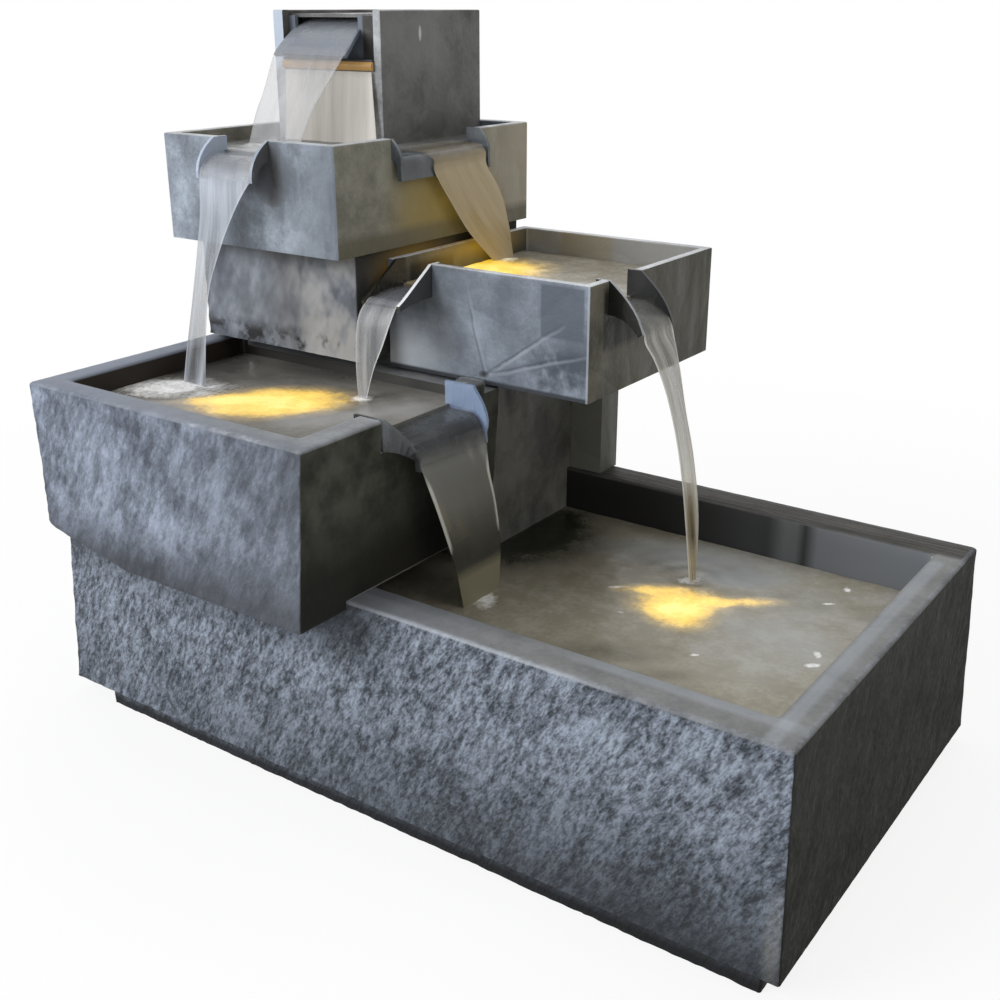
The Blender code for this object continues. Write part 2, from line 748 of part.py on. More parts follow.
def make_spout(name, bowl, side, wall, start, sizes):
    """A curved chute with upturned curbs, and the notch that it sits in.

    side is the bowl's wall, "front" or "right", and wall is (outer face, thickness, rim height). start is
    where the spout's span is counted from."""
    face, thickness, rim = wall
    depth, radius, sweep = sizes["depth"], sizes["radius"], sizes["sweep"]
    drop, draw_in = sizes.get("drop", 0.0), sizes.get("draw_in", (0.0, 0.0))
    low = rim - depth
    a0, a1 = (start + along for along in sizes["span"])

    def place(along, out, up):
        return (along, face - out, up) if side == "front" else (face + out, along, up)

    rings = []
    tail = thickness + CHUTE_TAIL
    for out, up, turn, curb, share in chute_stations(tail, radius, sweep, depth, drop):
        near, far = a0 + draw_in[0] * share, a1 - draw_in[1] * share
        normal = Vector((math.sin(turn), math.cos(turn)))
        rise = Vector((0.0, 1.0)).lerp(normal, share).normalized() * curb
        under = Vector((out, low + up)) - normal * CHUTE_THICKNESS
        top = Vector((out, low + up))
        crest = top + rise
        c = CURB_THICKNESS
        ring = [
            (near, under),
            (far, under),
            (far, crest),
            (far - c, crest),
            (far - c, top),
            (near + c, top),
            (near + c, crest),
            (near, crest),
        ]
        rings.append([place(along, point.x, point.y) for along, point in ring])
    origin = place((a0 + a1) / 2, 0.0, low)
    mesh = finish_mesh(name, loft(rings), 40)
    add_piece(name, mesh, smooth_stone(), origin)
    margin = thickness + SEAT_GAP
    first = place(a0 - SEAT_GAP, margin, low - CHUTE_THICKNESS - SEAT_GAP)
    last = place(a1 + SEAT_GAP, -margin - CHUTE_TAIL, rim + margin)
    combine(bowl, block(*[tuple(sorted(pair)) for pair in zip(first, last)]))


def make_spillway():
    """Wide arched chute at the top that widens towards its lip, and the weir plate that it runs through."""
    plate_back = FRONT + TANK_FRONT + TANK_WALL + SEAT_GAP + WEIR_THICKNESS
    plate_front = plate_back - WEIR_THICKNESS
    notch = (TANK_LEFT + TANK_JAMB_LEFT, TANK_RIGHT - TANK_WALL)
    top = TANK_RIM - SPILLWAY_BELOW_RIM
    clear = TANK_WALL + 2 * EDGE_THIN + SEAT_GAP
    plate_x = (TANK_LEFT + clear, TANK_RIGHT - clear)
    chute_left, chute_right = notch[0] + SPILLWAY_LEFT_MARGIN, notch[1] - SPILLWAY_RIGHT_MARGIN
    crest_y = FRONT + TANK_FRONT + SPILLWAY_CREST
    inner_radius = SPILLWAY_RADIUS - CHUTE_THICKNESS
    sweep = math.radians(SPILLWAY_SWEEP)

    def right_at(share):
        return chute_right - SPILLWAY_TAPER * (1 - share) ** SPILLWAY_TAPER_POWER

    def turn_at(y, radius):
        return math.asin((crest_y - y) / radius)

    def height_at(turn, radius):
        return top - SPILLWAY_RADIUS + radius * math.cos(turn)

    steps = 12
    rings = []
    for share in [step / steps for step in range(steps + 1)]:
        turn = sweep * share
        over, under = (
            (crest_y - radius * math.sin(turn), height_at(turn, radius))
            for radius in (SPILLWAY_RADIUS, inner_radius)
        )
        left, right = chute_left, right_at(share)
        rings.append([(left, *over), (right, *over), (right, *under), (left, *under)])
    spillway = add_piece(
        "top_spillway",
        finish_mesh("top_spillway", loft(rings), 30),
        smooth_stone(),
        ((chute_left + chute_right) / 2, plate_front, TANK_SILL),
    )
    lap = WEIR_THICKNESS / 4
    passes = (chute_left + lap, right_at(turn_at(plate_back, SPILLWAY_RADIUS) / sweep) - lap)
    over = height_at(turn_at(plate_front, SPILLWAY_RADIUS), SPILLWAY_RADIUS)
    under = height_at(turn_at(plate_back, inner_radius), inner_radius)
    outline = [
        (plate_x[0], TANK_SILL - WEIR_LAP),
        (plate_x[1], TANK_SILL - WEIR_LAP),
        (plate_x[1], top),
        (passes[1], top),
        (passes[1], (over + under) / 2),
        (passes[0], (over + under) / 2),
        (passes[0], top),
        (plate_x[0], top),
    ]
    plate = loft([[(x, y, z) for x, z in outline] for y in (plate_front, plate_back)])
    combine(spillway, plate, "UNION")


def make_light_bar():
    """Slim lamp channel on the notch's sill with an amber lens along its front."""
    face = FRONT + TANK_FRONT
    x = (
        TANK_LEFT + TANK_JAMB_LEFT + SEAT_GAP,
        TANK_RIGHT - TANK_WALL - SEAT_GAP,
    )
    z = (TANK_SILL + SEAT_GAP, TANK_SILL + SEAT_GAP + BAR_HEIGHT)
    back = face + TANK_WALL
    front = back - BAR_DEPTH
    lip = BAR_HEIGHT * 0.16
    profile = [
        (back, z[0]),
        (back, z[1]),
        (front - BAR_LENS_DEPTH * 0.6, z[1]),
        (front - BAR_LENS_DEPTH * 0.6, z[1] - lip),
        (front, z[1] - lip),
        (front, z[0]),
    ]
    add_piece(
        "light_bar_housing",
        finish_mesh("light_bar_housing", extruded(profile[::-1], "X", *x)),
        dark_plastic(),
        (sum(x) / 2, back, z[0]),
    )
    lens_top = z[1] - lip - SEAT_GAP
    middle = (z[0] + lens_top) / 2
    half = (lens_top - z[0]) / 2
    lens_back = front - SEAT_GAP
    profile = [(lens_back, z[0]), (lens_back, lens_top)]
    for step in range(ARC_STEPS + 1):
        turn = math.pi * step / ARC_STEPS
        profile.append(
            (
                lens_back - BAR_LENS_DEPTH / 3 - BAR_LENS_DEPTH * 2 / 3 * math.sin(turn),
                middle + half * math.cos(turn),
            )
        )
    add_piece(
        "light_bar_lens",
        finish_mesh("light_bar_lens", extruded(profile, "X", *x), 40),
        amber_lens(),
        (sum(x) / 2, lens_back, middle),
    )


def make_lamp(prefix, x, y, floor, bowl=None, bowl_foot=None):
    """A round lamp standing on a bowl's floor. Through a thin floor it has a stem and a locknut."""
    base = floor + SEAT_GAP
    centre = (x, y, base)
    seat = LAMP_HEIGHT - LAMP_LENS_SEAT
    bezel = LAMP_LENS_RADIUS + RUNNING_CLEARANCE
    chamfer = LAMP_HEIGHT * 0.15
    cup = [
        (bezel, seat),
        (bezel, LAMP_HEIGHT),
        (LAMP_RADIUS - chamfer, LAMP_HEIGHT),
        (LAMP_RADIUS, LAMP_HEIGHT - chamfer),
        (LAMP_RADIUS, 0.0),
    ]
    if bowl:
        thread = floor - bowl_foot + LAMP_NUT_HEIGHT + LAMP_HEIGHT / 2
        cup += [(LAMP_STEM_RADIUS, 0.0), (LAMP_STEM_RADIUS, -thread), (0, -thread)]
    else:
        cup.append((0, 0.0))
    name = f"{prefix}_lamp_housing"
    mesh = finish_mesh(name, turned([(0, seat)] + cup, centre), 30)
    add_piece(name, mesh, dark_plastic(), centre)
    crown = [(0, seat + SEAT_GAP), (LAMP_LENS_RADIUS, seat + SEAT_GAP)]
    steps = 5
    for step in range(steps + 1):
        turn = math.pi / 2 * step / steps
        height = LAMP_HEIGHT - LAMP_LENS_CROWN * (1 - math.sin(turn)) + LAMP_LENS_CROWN / 2
        crown.append((LAMP_LENS_RADIUS * math.cos(turn) if step < steps else 0, height))
    name = f"{prefix}_lamp_lens"
    add_piece(name, finish_mesh(name, turned(crown, centre), 40), amber_lens(), centre)
    if not bowl:
        return
    reach = floor - bowl_foot
    hole = rod(LAMP_STEM_RADIUS + SEAT_GAP, -2 * reach, reach, centre, "Z", SMALL_FACETS)
    combine(bowl, hole)
    nut_top = bowl_foot - base - SEAT_GAP
    nut_foot = nut_top - LAMP_NUT_HEIGHT
    hex_nut(f"{prefix}_lamp_nut", LAMP_NUT_RADIUS, LAMP_STEM_RADIUS, nut_foot, nut_top, centre)


def grommet_groove():
    """Radius of the groove that a floor's edge sits in."""
    return HOSE_RADIUS + SEAT_GAP + GROMMET_LIP / 2


def pump_levels():
    """Height of the pump's underside, of its shaft and of the top of its body."""
    underside = TROUGH_FLOOR + SEAT_GAP + PUMP_FOOT_HEIGHT
    return underside, underside + PUMP_BODY_HEIGHT / 2, underside + PUMP_BODY_HEIGHT


def make_hose():
    """Hose from the pump up to the top tank, with its clamps, floor grommet and tank fitting."""
    body_top = pump_levels()[2]
    hose_foot = body_top + SEAT_GAP
    nut_foot = TANK_FLOOR_BOTTOM - SEAT_GAP - BULKHEAD_NUT_HEIGHT
    hose_top = nut_foot - SEAT_GAP
    centre = (PUMP_X, PUMP_Y, 0.0)
    name = "riser_hose"
    mesh = finish_mesh(name, pipe(HOSE_RADIUS, HOSE_BORE_RADIUS, hose_foot, hose_top, centre), 30)
    add_piece(name, mesh, rubber(), centre)
    inner = HOSE_RADIUS + SEAT_GAP
    outer = inner + CLAMP_THICKNESS
    for name, middle in (
        ("hose_clamp_lower", hose_foot + BARB_LENGTH / 2),
        ("hose_clamp_upper", hose_top - BARB_LENGTH / 2),
    ):
        band = pipe(outer, inner, middle - CLAMP_WIDTH / 2, middle + CLAMP_WIDTH / 2, centre)
        clamp = add_piece(name, finish_mesh(name, band, 30), steel(), (PUMP_X, PUMP_Y, middle))
        lug = rod(
            CLAMP_WIDTH * 0.3,
            -CLAMP_WIDTH * 0.8,
            CLAMP_WIDTH * 0.8,
            (PUMP_X, PUMP_Y - outer - CLAMP_WIDTH * 0.2, middle),
            "X",
            TINY_FACETS,
        )
        combine(clamp, lug, "UNION")
    groove = grommet_groove()
    lip = inner + GROMMET_LIP
    profile = [
        (inner, UPPER_FOOT - GROMMET_LIP),
        (lip, UPPER_FOOT - GROMMET_LIP),
        (lip, UPPER_FOOT - SEAT_GAP),
        (groove, UPPER_FOOT - SEAT_GAP),
        (groove, UPPER_FLOOR_TOP + SEAT_GAP),
        (lip, UPPER_FLOOR_TOP + SEAT_GAP),
        (lip, UPPER_FLOOR_TOP + GROMMET_LIP),
        (inner, UPPER_FLOOR_TOP + GROMMET_LIP),
    ]
    add_piece(
        "riser_grommet",
        finish_mesh("riser_grommet", turned(profile, centre), 30),
        rubber(),
        (PUMP_X, PUMP_Y, UPPER_FOOT),
    )
    barb = HOSE_BORE_RADIUS - SEAT_GAP
    bore = barb - BARB_WALL
    thread = HOSE_BORE_RADIUS + GROMMET_LIP / 2
    flange_z = TANK_FLOOR_TOP + SEAT_GAP
    profile = [
        (bore, hose_top - BARB_LENGTH),
        (barb, hose_top - BARB_LENGTH),
        (barb, hose_top + SEAT_GAP),
        (thread, hose_top + SEAT_GAP),
        (thread, flange_z),
        (BULKHEAD_FLANGE_RADIUS, flange_z),
        (BULKHEAD_FLANGE_RADIUS, flange_z + BULKHEAD_FLANGE_THICKNESS),
        (bore, flange_z + BULKHEAD_FLANGE_THICKNESS),
    ]
    add_piece(
        "tank_bulkhead",
        finish_mesh("tank_bulkhead", turned(profile, centre), 30),
        dark_plastic(),
        (PUMP_X, PUMP_Y, TANK_FLOOR_TOP),
    )
    nut_at = (PUMP_X, PUMP_Y, nut_foot)
    hex_nut("bulkhead_nut", BULKHEAD_NUT_RADIUS, thread, 0.0, BULKHEAD_NUT_HEIGHT, nut_at)


def make_pump():
    """Submersible pump: motor block, impeller chamber with its outlet, cover, strainer and flow dial."""
    underside, shaft_z, body_top = pump_levels()
    half = PUMP_WIDTH / 2
    y = (PUMP_Y - half, PUMP_Y + half)
    z = (underside, body_top)
    volute_x = (PUMP_X - VOLUTE_LENGTH / 2, PUMP_X + VOLUTE_LENGTH / 2)
    motor_x = (volute_x[0] - SEAT_GAP - PUMP_MOTOR_LENGTH, volute_x[0] - SEAT_GAP)

    motor = add_piece(
        "pump_motor",
        finish_mesh("pump_motor", block(motor_x, y, z)),
        dark_plastic(),
        (motor_x[0], PUMP_Y, underside),
    )
    soften(motor, PUMP_WIDTH * 0.12)

    volute = add_piece(
        "pump_volute",
        finish_mesh("pump_volute", block(volute_x, y, z)),
        dark_plastic(),
        (volute_x[0], PUMP_Y, underside),
    )
    barb = HOSE_BORE_RADIUS - SEAT_GAP
    spigot = rod(barb, -PUMP_BODY_HEIGHT / 8, BARB_LENGTH, (PUMP_X, PUMP_Y, body_top))
    combine(volute, spigot, "UNION")
    axis = (volute_x[1], PUMP_Y, shaft_z)
    combine(volute, rod(CHAMBER_RADIUS, -CHAMBER_DEPTH, COVER_THICKNESS, axis, "X"))
    outlet = rod(barb - BARB_WALL, 0.0, PUMP_BODY_HEIGHT + BARB_LENGTH, (PUMP_X, PUMP_Y, shaft_z))
    combine(volute, outlet)
    blind = VOLUTE_LENGTH - (VOLUTE_LENGTH - CHAMBER_DEPTH) / 2
    shaft_bore = rod(SHAFT_RADIUS + RUNNING_CLEARANCE / 3, -blind, 0.0, axis, "X", TINY_FACETS)
    combine(volute, shaft_bore)

    cover_x = volute_x[1] + SEAT_GAP
    hub = (volute_x[1] - CHAMBER_DEPTH / 2, PUMP_Y, shaft_z)
    make_impeller(hub, blind - CHAMBER_DEPTH / 2 - RUNNING_CLEARANCE)
    outline = block((cover_x, cover_x + COVER_THICKNESS), y, z)
    cover = add_piece(
        "impeller_cover",
        finish_mesh("impeller_cover", outline),
        dark_plastic(),
        (cover_x, PUMP_Y, shaft_z),
    )
    eye = (cover_x, PUMP_Y, shaft_z)
    combine(cover, rod(COVER_EYE_RADIUS, -COVER_THICKNESS, 2 * COVER_THICKNESS, eye, "X"))
    make_strainer(cover_x + COVER_THICKNESS + SEAT_GAP, y, z, shaft_z)

    inset = PUMP_WIDTH * 0.26
    feet_x = (motor_x[0] + inset, volute_x[1] - inset)
    feet_y = (y[0] + inset, y[1] - inset)
    spots = [(fx, fy) for fx in feet_x for fy in feet_y]
    for number, (fx, fy) in enumerate(spots, 1):
        height = PUMP_FOOT_HEIGHT - SEAT_GAP
        profile = [
            (0, FOOT_LIP_WIDTH),
            (FOOT_CUP_RADIUS - FOOT_LIP_WIDTH, 0.0),
            (FOOT_CUP_RADIUS, 0.0),
            (FOOT_STEM_RADIUS, height * 0.45),
            (FOOT_STEM_RADIUS, height),
            (0, height),
        ]
        name = f"suction_foot_{number}"
        stood = (fx, fy, TROUGH_FLOOR + SEAT_GAP)
        mesh = finish_mesh(name, turned(profile, stood, "Z", SMALL_FACETS), 30)
        add_piece(name, mesh, rubber(), (fx, fy, underside))


def soften(piece, width, segments=2):
    """Rounds the edges of a solid block."""
    bevel = piece.modifiers.new("rounded_edges", "BEVEL")
    bevel.width = width
    bevel.segments = segments
    bevel.limit_method = "ANGLE"
    bevel.angle_limit = math.radians(60)


def make_impeller(hub, back_reach):
    """Hub with straight blades on a shaft that turns in the chamber's blind wall."""
    hub_radius = IMPELLER_RADIUS * 0.32
    half = IMPELLER_WIDTH / 2
    impeller = add_piece(
        "pump_impeller",
        finish_mesh("pump_impeller", rod(hub_radius, -half, half, hub, "X", SMALL_FACETS)),
        dark_plastic(),
        hub,
    )
    combine(impeller, rod(SHAFT_RADIUS, -back_reach, half, hub, "X", TINY_FACETS), "UNION")
    blade = IMPELLER_RADIUS * 0.06
    for number in range(IMPELLER_BLADES):
        turn = Matrix.Rotation(math.tau * number / IMPELLER_BLADES, 4, "X")
        shape = block((-half * 0.92, half * 0.92), (-blade, blade), (hub_radius * 0.5, IMPELLER_RADIUS))
        shape.transform(Matrix.Translation(hub) @ turn)
        combine(impeller, shape, "UNION")


def make_strainer(start, y, z, shaft_z):
    """Slotted cap over the intake, with the flow dial turning on a pin in its end."""
    x = (start, start + STRAINER_LENGTH)
    strainer = add_piece(
        "intake_strainer",
        finish_mesh("intake_strainer", block(x, y, z)),
        dark_plastic(),
        (start, PUMP_Y, shaft_z),
    )
    w = STRAINER_WALL
    combine(strainer, block((x[0] - w, x[1] - w), (y[0] + w, y[1] - w), (z[0] + w, z[1] - w)))
    run = STRAINER_LENGTH - 4 * w
    pitch = run / STRAINER_SLOTS
    margin = 3 * w
    for number in range(STRAINER_SLOTS):
        at = x[0] + 2 * w + pitch * (number + 0.5)
        slot = (at - STRAINER_SLOT_WIDTH / 2, at + STRAINER_SLOT_WIDTH / 2)
        combine(strainer, block(slot, (y[0] - w, y[1] + w), (z[0] + margin, z[1] - margin)))
    pin_bore = DIAL_PIN_RADIUS + RUNNING_CLEARANCE
    combine(strainer, rod(pin_bore, -2 * w, w, (x[1], PUMP_Y, shaft_z), "X", SMALL_FACETS))
    pivot = (x[1] + SEAT_GAP, PUMP_Y, shaft_z)
    profile = [
        (0, -w * 1.6),
        (DIAL_PIN_RADIUS, -w * 1.6),
        (DIAL_PIN_RADIUS, 0.0),
        (DIAL_RADIUS, 0.0),
        (DIAL_RADIUS, DIAL_THICKNESS),
        (0, DIAL_THICKNESS),
    ]
    dial = add_piece(
        "flow_dial", finish_mesh("flow_dial", turned(profile, pivot, "X"), 30), dark_plastic(), pivot
    )
    grip = block(
        (pivot[0] + DIAL_THICKNESS * 0.5, pivot[0] + DIAL_THICKNESS * 2.2),
        (PUMP_Y - DIAL_THICKNESS / 2, PUMP_Y + DIAL_THICKNESS / 2),
        (shaft_z - DIAL_RADIUS * 0.9, shaft_z + DIAL_RADIUS * 0.9),
    )
    combine(dial, grip, "UNION")


def make_door():
    """Cover over the opening in the tower's back, lapped into a rebate, with four screws."""
    y = (BACK - DOOR_THICKNESS, BACK)
    lap = DOOR_LAP - SEAT_GAP
    x = (DOOR_LEFT - lap, DOOR_LEFT + DOOR_WIDTH + lap)
    z = (DOOR_BOTTOM - lap, DOOR_BOTTOM + DOOR_HEIGHT + lap)
    door = add_piece(
        "access_door",
        finish_mesh("access_door", block(x, y, z)),
        smooth_stone(),
        (sum(x) / 2, BACK, sum(z) / 2),
    )
    spine = block(
        (DOOR_LEFT + SEAT_GAP * 2, DOOR_LEFT + DOOR_WIDTH - SEAT_GAP * 2),
        (BACK - DOOR_THICKNESS * 1.5, BACK - DOOR_THICKNESS / 2),
        (DOOR_BOTTOM + SEAT_GAP * 2, DOOR_BOTTOM + DOOR_HEIGHT - SEAT_GAP * 2),
    )
    combine(door, spine, "UNION")
    finger = rod(
        FINGER_PULL_RADIUS,
        -DOOR_THICKNESS * 0.55,
        DOOR_THICKNESS,
        (sum(x) / 2, BACK, z[1] - SCREW_INSET * 1.4),
        "Y",
    )
    combine(door, finger)
    head_seat = BACK - SCREW_HEAD_HEIGHT
    spots = [(sx, sz) for sx in (x[0] + SCREW_INSET, x[1] - SCREW_INSET)
             for sz in (z[0] + SCREW_INSET, z[1] - SCREW_INSET)]
    for number, (sx, sz) in enumerate(spots, 1):
        centre = (sx, head_seat, sz)
        shank = DOOR_THICKNESS * 1.5 - SCREW_HEAD_HEIGHT
        head, thread = SCREW_HEAD_RADIUS + SEAT_GAP, SCREW_RADIUS + SEAT_GAP
        through = (-3 * DOOR_THICKNESS, DOOR_THICKNESS)
        combine(door, rod(head, 0.0, DOOR_THICKNESS, centre, "Y", SMALL_FACETS))
        combine(door, rod(thread, *through, centre, "Y", TINY_FACETS))
        profile = [
            (0, -shank),
            (SCREW_RADIUS, -shank),
            (SCREW_RADIUS, SEAT_GAP),
            (SCREW_HEAD_RADIUS, SEAT_GAP),
            (SCREW_HEAD_RADIUS, SCREW_HEAD_HEIGHT),
            (0, SCREW_HEAD_HEIGHT),
        ]
        name = f"door_screw_{number}"
        mesh = finish_mesh(name, turned(profile, centre, "Y", SMALL_FACETS), 30)
        add_piece(name, mesh, steel(), centre)


def make_gland():
    """Cable gland through the tower's back, with its locknut inside."""
    centre = (GLAND_X, BACK, GLAND_Z)
    inside = TOWER_WALL + SEAT_GAP * 2 + GLAND_NUT_THICKNESS
    profile = [
        (GLAND_BORE_RADIUS, -inside - SEAT_GAP * 4),
        (GLAND_RADIUS, -inside - SEAT_GAP * 4),
        (GLAND_RADIUS, SEAT_GAP),
        (GLAND_HEAD_RADIUS, SEAT_GAP),
        (GLAND_HEAD_RADIUS, GLAND_HEAD_LENGTH * 0.4),
        (GLAND_HEAD_RADIUS * 0.86, GLAND_HEAD_LENGTH * 0.4),
        (GLAND_HEAD_RADIUS * 0.86, GLAND_HEAD_LENGTH * 0.8),
        (GLAND_HEAD_RADIUS * 0.6, GLAND_HEAD_LENGTH),
        (GLAND_BORE_RADIUS, GLAND_HEAD_LENGTH),
    ]
    mesh = finish_mesh("cable_gland", turned(profile, centre, "Y"), 30)
    add_piece("cable_gland", mesh, dark_plastic(), centre)
    nut_end = GLAND_NUT_THICKNESS - inside
    hex_nut("gland_nut", GLAND_HEAD_RADIUS, GLAND_RADIUS, -inside, nut_end, centre, "Y")


def make_pump_lead():
    """The pump's lead: out of the motor's top, up inside the tower and back into the cable gland."""
    body_top = pump_levels()[2]
    left = PUMP_X - VOLUTE_LENGTH / 2 - PUMP_MOTOR_LENGTH / 2
    gland_mouth = BACK - TOWER_WALL - GLAND_NUT_THICKNESS
    bends = [
        Vector((left, PUMP_Y, body_top + SEAT_GAP)),
        Vector((left, PUMP_Y, GLAND_Z)),
        Vector((GLAND_X, PUMP_Y - TOWER_WALL, GLAND_Z)),
        Vector((GLAND_X, gland_mouth, GLAND_Z)),
    ]
    curve = bpy.data.curves.new("pump_lead", "CURVE")
    curve.dimensions = "3D"
    curve.bevel_depth = LEAD_RADIUS
    curve.bevel_resolution = 2
    curve.use_fill_caps = True
    spline = curve.splines.new("POLY")
    spline.points.add(LEAD_STATIONS - 1)
    for number, point in enumerate(spline.points):
        t = number / (LEAD_STATIONS - 1)
        weights = ((1 - t) ** 3, 3 * t * (1 - t) ** 2, 3 * t * t * (1 - t), t**3)
        at = sum((bend * weight for bend, weight in zip(bends, weights)), Vector()) - bends[0]
        point.co = (*at, 1.0)
    lead = bpy.data.objects.new("pump_lead", curve)
    lead.location = bends[0]
    curve.materials.append(rubber())
    bpy.context.scene.collection.objects.link(lead)


def make_drain():
    """Push-in plug low in the trough's back wall, with a flat seal under its head."""
    seat = BACK - DRAIN_RECESS + SEAT_GAP
    centre = (DRAIN_X, seat, DRAIN_Z)
    under_head = DRAIN_SEAL_THICKNESS + SEAT_GAP
    reach = TROUGH_RIM_FRONT - DRAIN_RECESS
    shaft = DRAIN_RADIUS - RUNNING_CLEARANCE
    profile = [
        (0, -reach),
        (shaft * 0.85, -reach),
        (shaft, -reach * 0.9),
        (shaft, under_head),
        (DRAIN_HEAD_RADIUS, under_head),
        (DRAIN_HEAD_RADIUS, under_head + DRAIN_HEAD_THICKNESS * 0.7),
        (DRAIN_HEAD_RADIUS * 0.9, under_head + DRAIN_HEAD_THICKNESS),
        (0, under_head + DRAIN_HEAD_THICKNESS),
    ]
    mesh = finish_mesh("drain_plug", turned(profile, centre, "Y"), 30)
    add_piece("drain_plug", mesh, rubber(), centre)
    seal = pipe(DRAIN_HEAD_RADIUS, DRAIN_RADIUS, 0.0, DRAIN_SEAL_THICKNESS, centre, "Y")
    add_piece("drain_seal", finish_mesh("drain_seal", seal, 30), rubber(), centre)


def clear_scene():
    for old in list(bpy.data.objects):
        bpy.data.objects.remove(old)


def main():
    clear_scene()
    make_trough()
    lower = make_lower_bowl()
    make_tower()
    make_riser()
    right = make_right_bowl()
    upper = make_upper_bowl()
    tank = make_top_tank()

    lower_wall = (LOWER_RIGHT, LOWER_WALL, LOWER_RIM)
    make_spout("lower_side_spout", lower, "right", lower_wall, FRONT, LOWER_SIDE_SPOUT)
    right_side = (RIGHT_BOWL_RIGHT, RIGHT_BOWL_WALL, RIGHT_BOWL_RIM)
    make_spout("right_side_spout", right, "right", right_side, FRONT, RIGHT_SIDE_SPOUT)
    right_front = (FRONT + RIGHT_BOWL_FRONT, RIGHT_BOWL_WALL, RIGHT_BOWL_RIM)
    inside_left = RIGHT_BOWL_LEFT + RIGHT_BOWL_WALL
    make_spout("right_front_spout", right, "front", right_front, inside_left, RIGHT_FRONT_SPOUT)
    upper_side = (UPPER_RIGHT, UPPER_WALL, UPPER_RIM)
    make_spout("upper_side_spout", upper, "right", upper_side, FRONT, UPPER_SIDE_SPOUT)
    upper_front = (FRONT + UPPER_FRONT, UPPER_WALL, UPPER_RIM)
    make_spout("upper_front_spout", upper, "front", upper_front, UPPER_LEFT, UPPER_FRONT_SPOUT)
    make_spillway()
    make_light_bar()

    base_spot = (HALF_LENGTH - BASE_LAMP_FROM_RIGHT, FRONT + BASE_LAMP_SETBACK)
    make_lamp("base", *base_spot, TROUGH_FLOOR)
    lower_spot = (LOWER_LEFT + LOWER_LAMP_FROM_LEFT, FRONT + LOWER_LAMP_SETBACK)
    make_lamp("lower", *lower_spot, RIM_SEAT + LOWER_FLOOR, lower, RIM_SEAT)
    right_floor = RIGHT_BOWL_FOOT + RIGHT_BOWL_FLOOR
    right_spot = (RIGHT_BOWL_LEFT + RIGHT_LAMP_FROM_LEFT, FRONT + RIGHT_LAMP_SETBACK)
    make_lamp("right", *right_spot, right_floor, right, RIGHT_BOWL_FOOT)

    make_pump()
    make_hose()
    make_door()
    make_gland()
    make_pump_lead()
    make_drain()


main()
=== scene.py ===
"""Looks of the cascading water feature: split stone, smooth wet castings, running water and amber lights.

Metres, in the row frame. Heights, sides and water lines repeat the sizes of the solids. F is the world y of
the trough's front face at its rim, so F + 0.133 lies 133 mm behind it.
"""

import math

import bpy
import numpy as np
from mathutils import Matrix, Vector


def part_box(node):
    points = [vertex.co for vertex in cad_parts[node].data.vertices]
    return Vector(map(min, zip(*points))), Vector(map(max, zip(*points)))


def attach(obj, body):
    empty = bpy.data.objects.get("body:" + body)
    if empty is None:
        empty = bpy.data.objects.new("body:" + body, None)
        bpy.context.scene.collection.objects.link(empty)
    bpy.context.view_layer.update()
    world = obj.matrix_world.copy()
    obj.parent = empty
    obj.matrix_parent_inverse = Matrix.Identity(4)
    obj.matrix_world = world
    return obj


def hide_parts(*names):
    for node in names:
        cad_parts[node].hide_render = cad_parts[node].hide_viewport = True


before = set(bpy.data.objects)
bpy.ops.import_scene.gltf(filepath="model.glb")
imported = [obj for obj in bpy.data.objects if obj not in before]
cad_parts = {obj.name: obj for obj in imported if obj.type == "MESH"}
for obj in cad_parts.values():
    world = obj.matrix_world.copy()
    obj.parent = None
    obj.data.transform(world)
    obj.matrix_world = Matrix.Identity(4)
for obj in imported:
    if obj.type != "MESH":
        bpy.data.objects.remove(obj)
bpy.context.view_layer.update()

# Studio. A pale floor that keeps the shadow, broad soft lights from the front left, the right and above, and
# a camera that stands where the photograph was taken from.
CAMERA_PLACE = (0.5826, -0.8087, 0.6094)
CAMERA_TURN = math.radians(35.2292)
CAMERA_DIP = math.radians(21.4066)
LENS_LENGTH, SENSOR_WIDTH, NEAREST_SHOWN = 45.51, 36, 0.01
camera = bpy.data.objects.new("camera", bpy.data.cameras.new("camera"))
bpy.context.scene.collection.objects.link(camera)
bpy.context.scene.camera = camera
bpy.context.scene.view_settings.view_transform = "Standard"
camera.data.lens = LENS_LENGTH
camera.data.sensor_width = SENSOR_WIDTH
camera.data.clip_start = NEAREST_SHOWN
camera.location = CAMERA_PLACE
sight = Vector(
    (
        -math.sin(CAMERA_TURN) * math.cos(CAMERA_DIP),
        math.cos(CAMERA_TURN) * math.cos(CAMERA_DIP),
        -math.sin(CAMERA_DIP),
    )
)
camera.rotation_mode = "QUATERNION"
camera.rotation_quaternion = sight.to_track_quat("-Z", "Y")


def softbox(name, place, aim, width, power, colour):
    """A square area light at a place, turned to face a point."""
    light = bpy.data.lights.new(name, "AREA")
    light.size = width
    light.energy = power
    light.color = colour
    holder = bpy.data.objects.new(name, light)
    holder.location = place
    holder.rotation_mode = "QUATERNION"
    holder.rotation_quaternion = (Vector(aim) - Vector(place)).to_track_quat("-Z", "Y")
    bpy.context.scene.collection.objects.link(holder)


softbox("front_light", (-1.3, -2.1, 1.5), aim=(0, 0, 0.25), width=1.6, power=62, colour=(0.97, 0.985, 1.0))
softbox("right_light", (1.9, -0.2, 1.9), aim=(-0.1, 0.1, 0.45), width=1.2, power=9, colour=(1.0, 0.97, 0.9))
softbox("top_light", (-0.2, 0.6, 2.4), aim=(0, 0, 0.2), width=1.8, power=20, colour=(1.0, 1.0, 1.0))


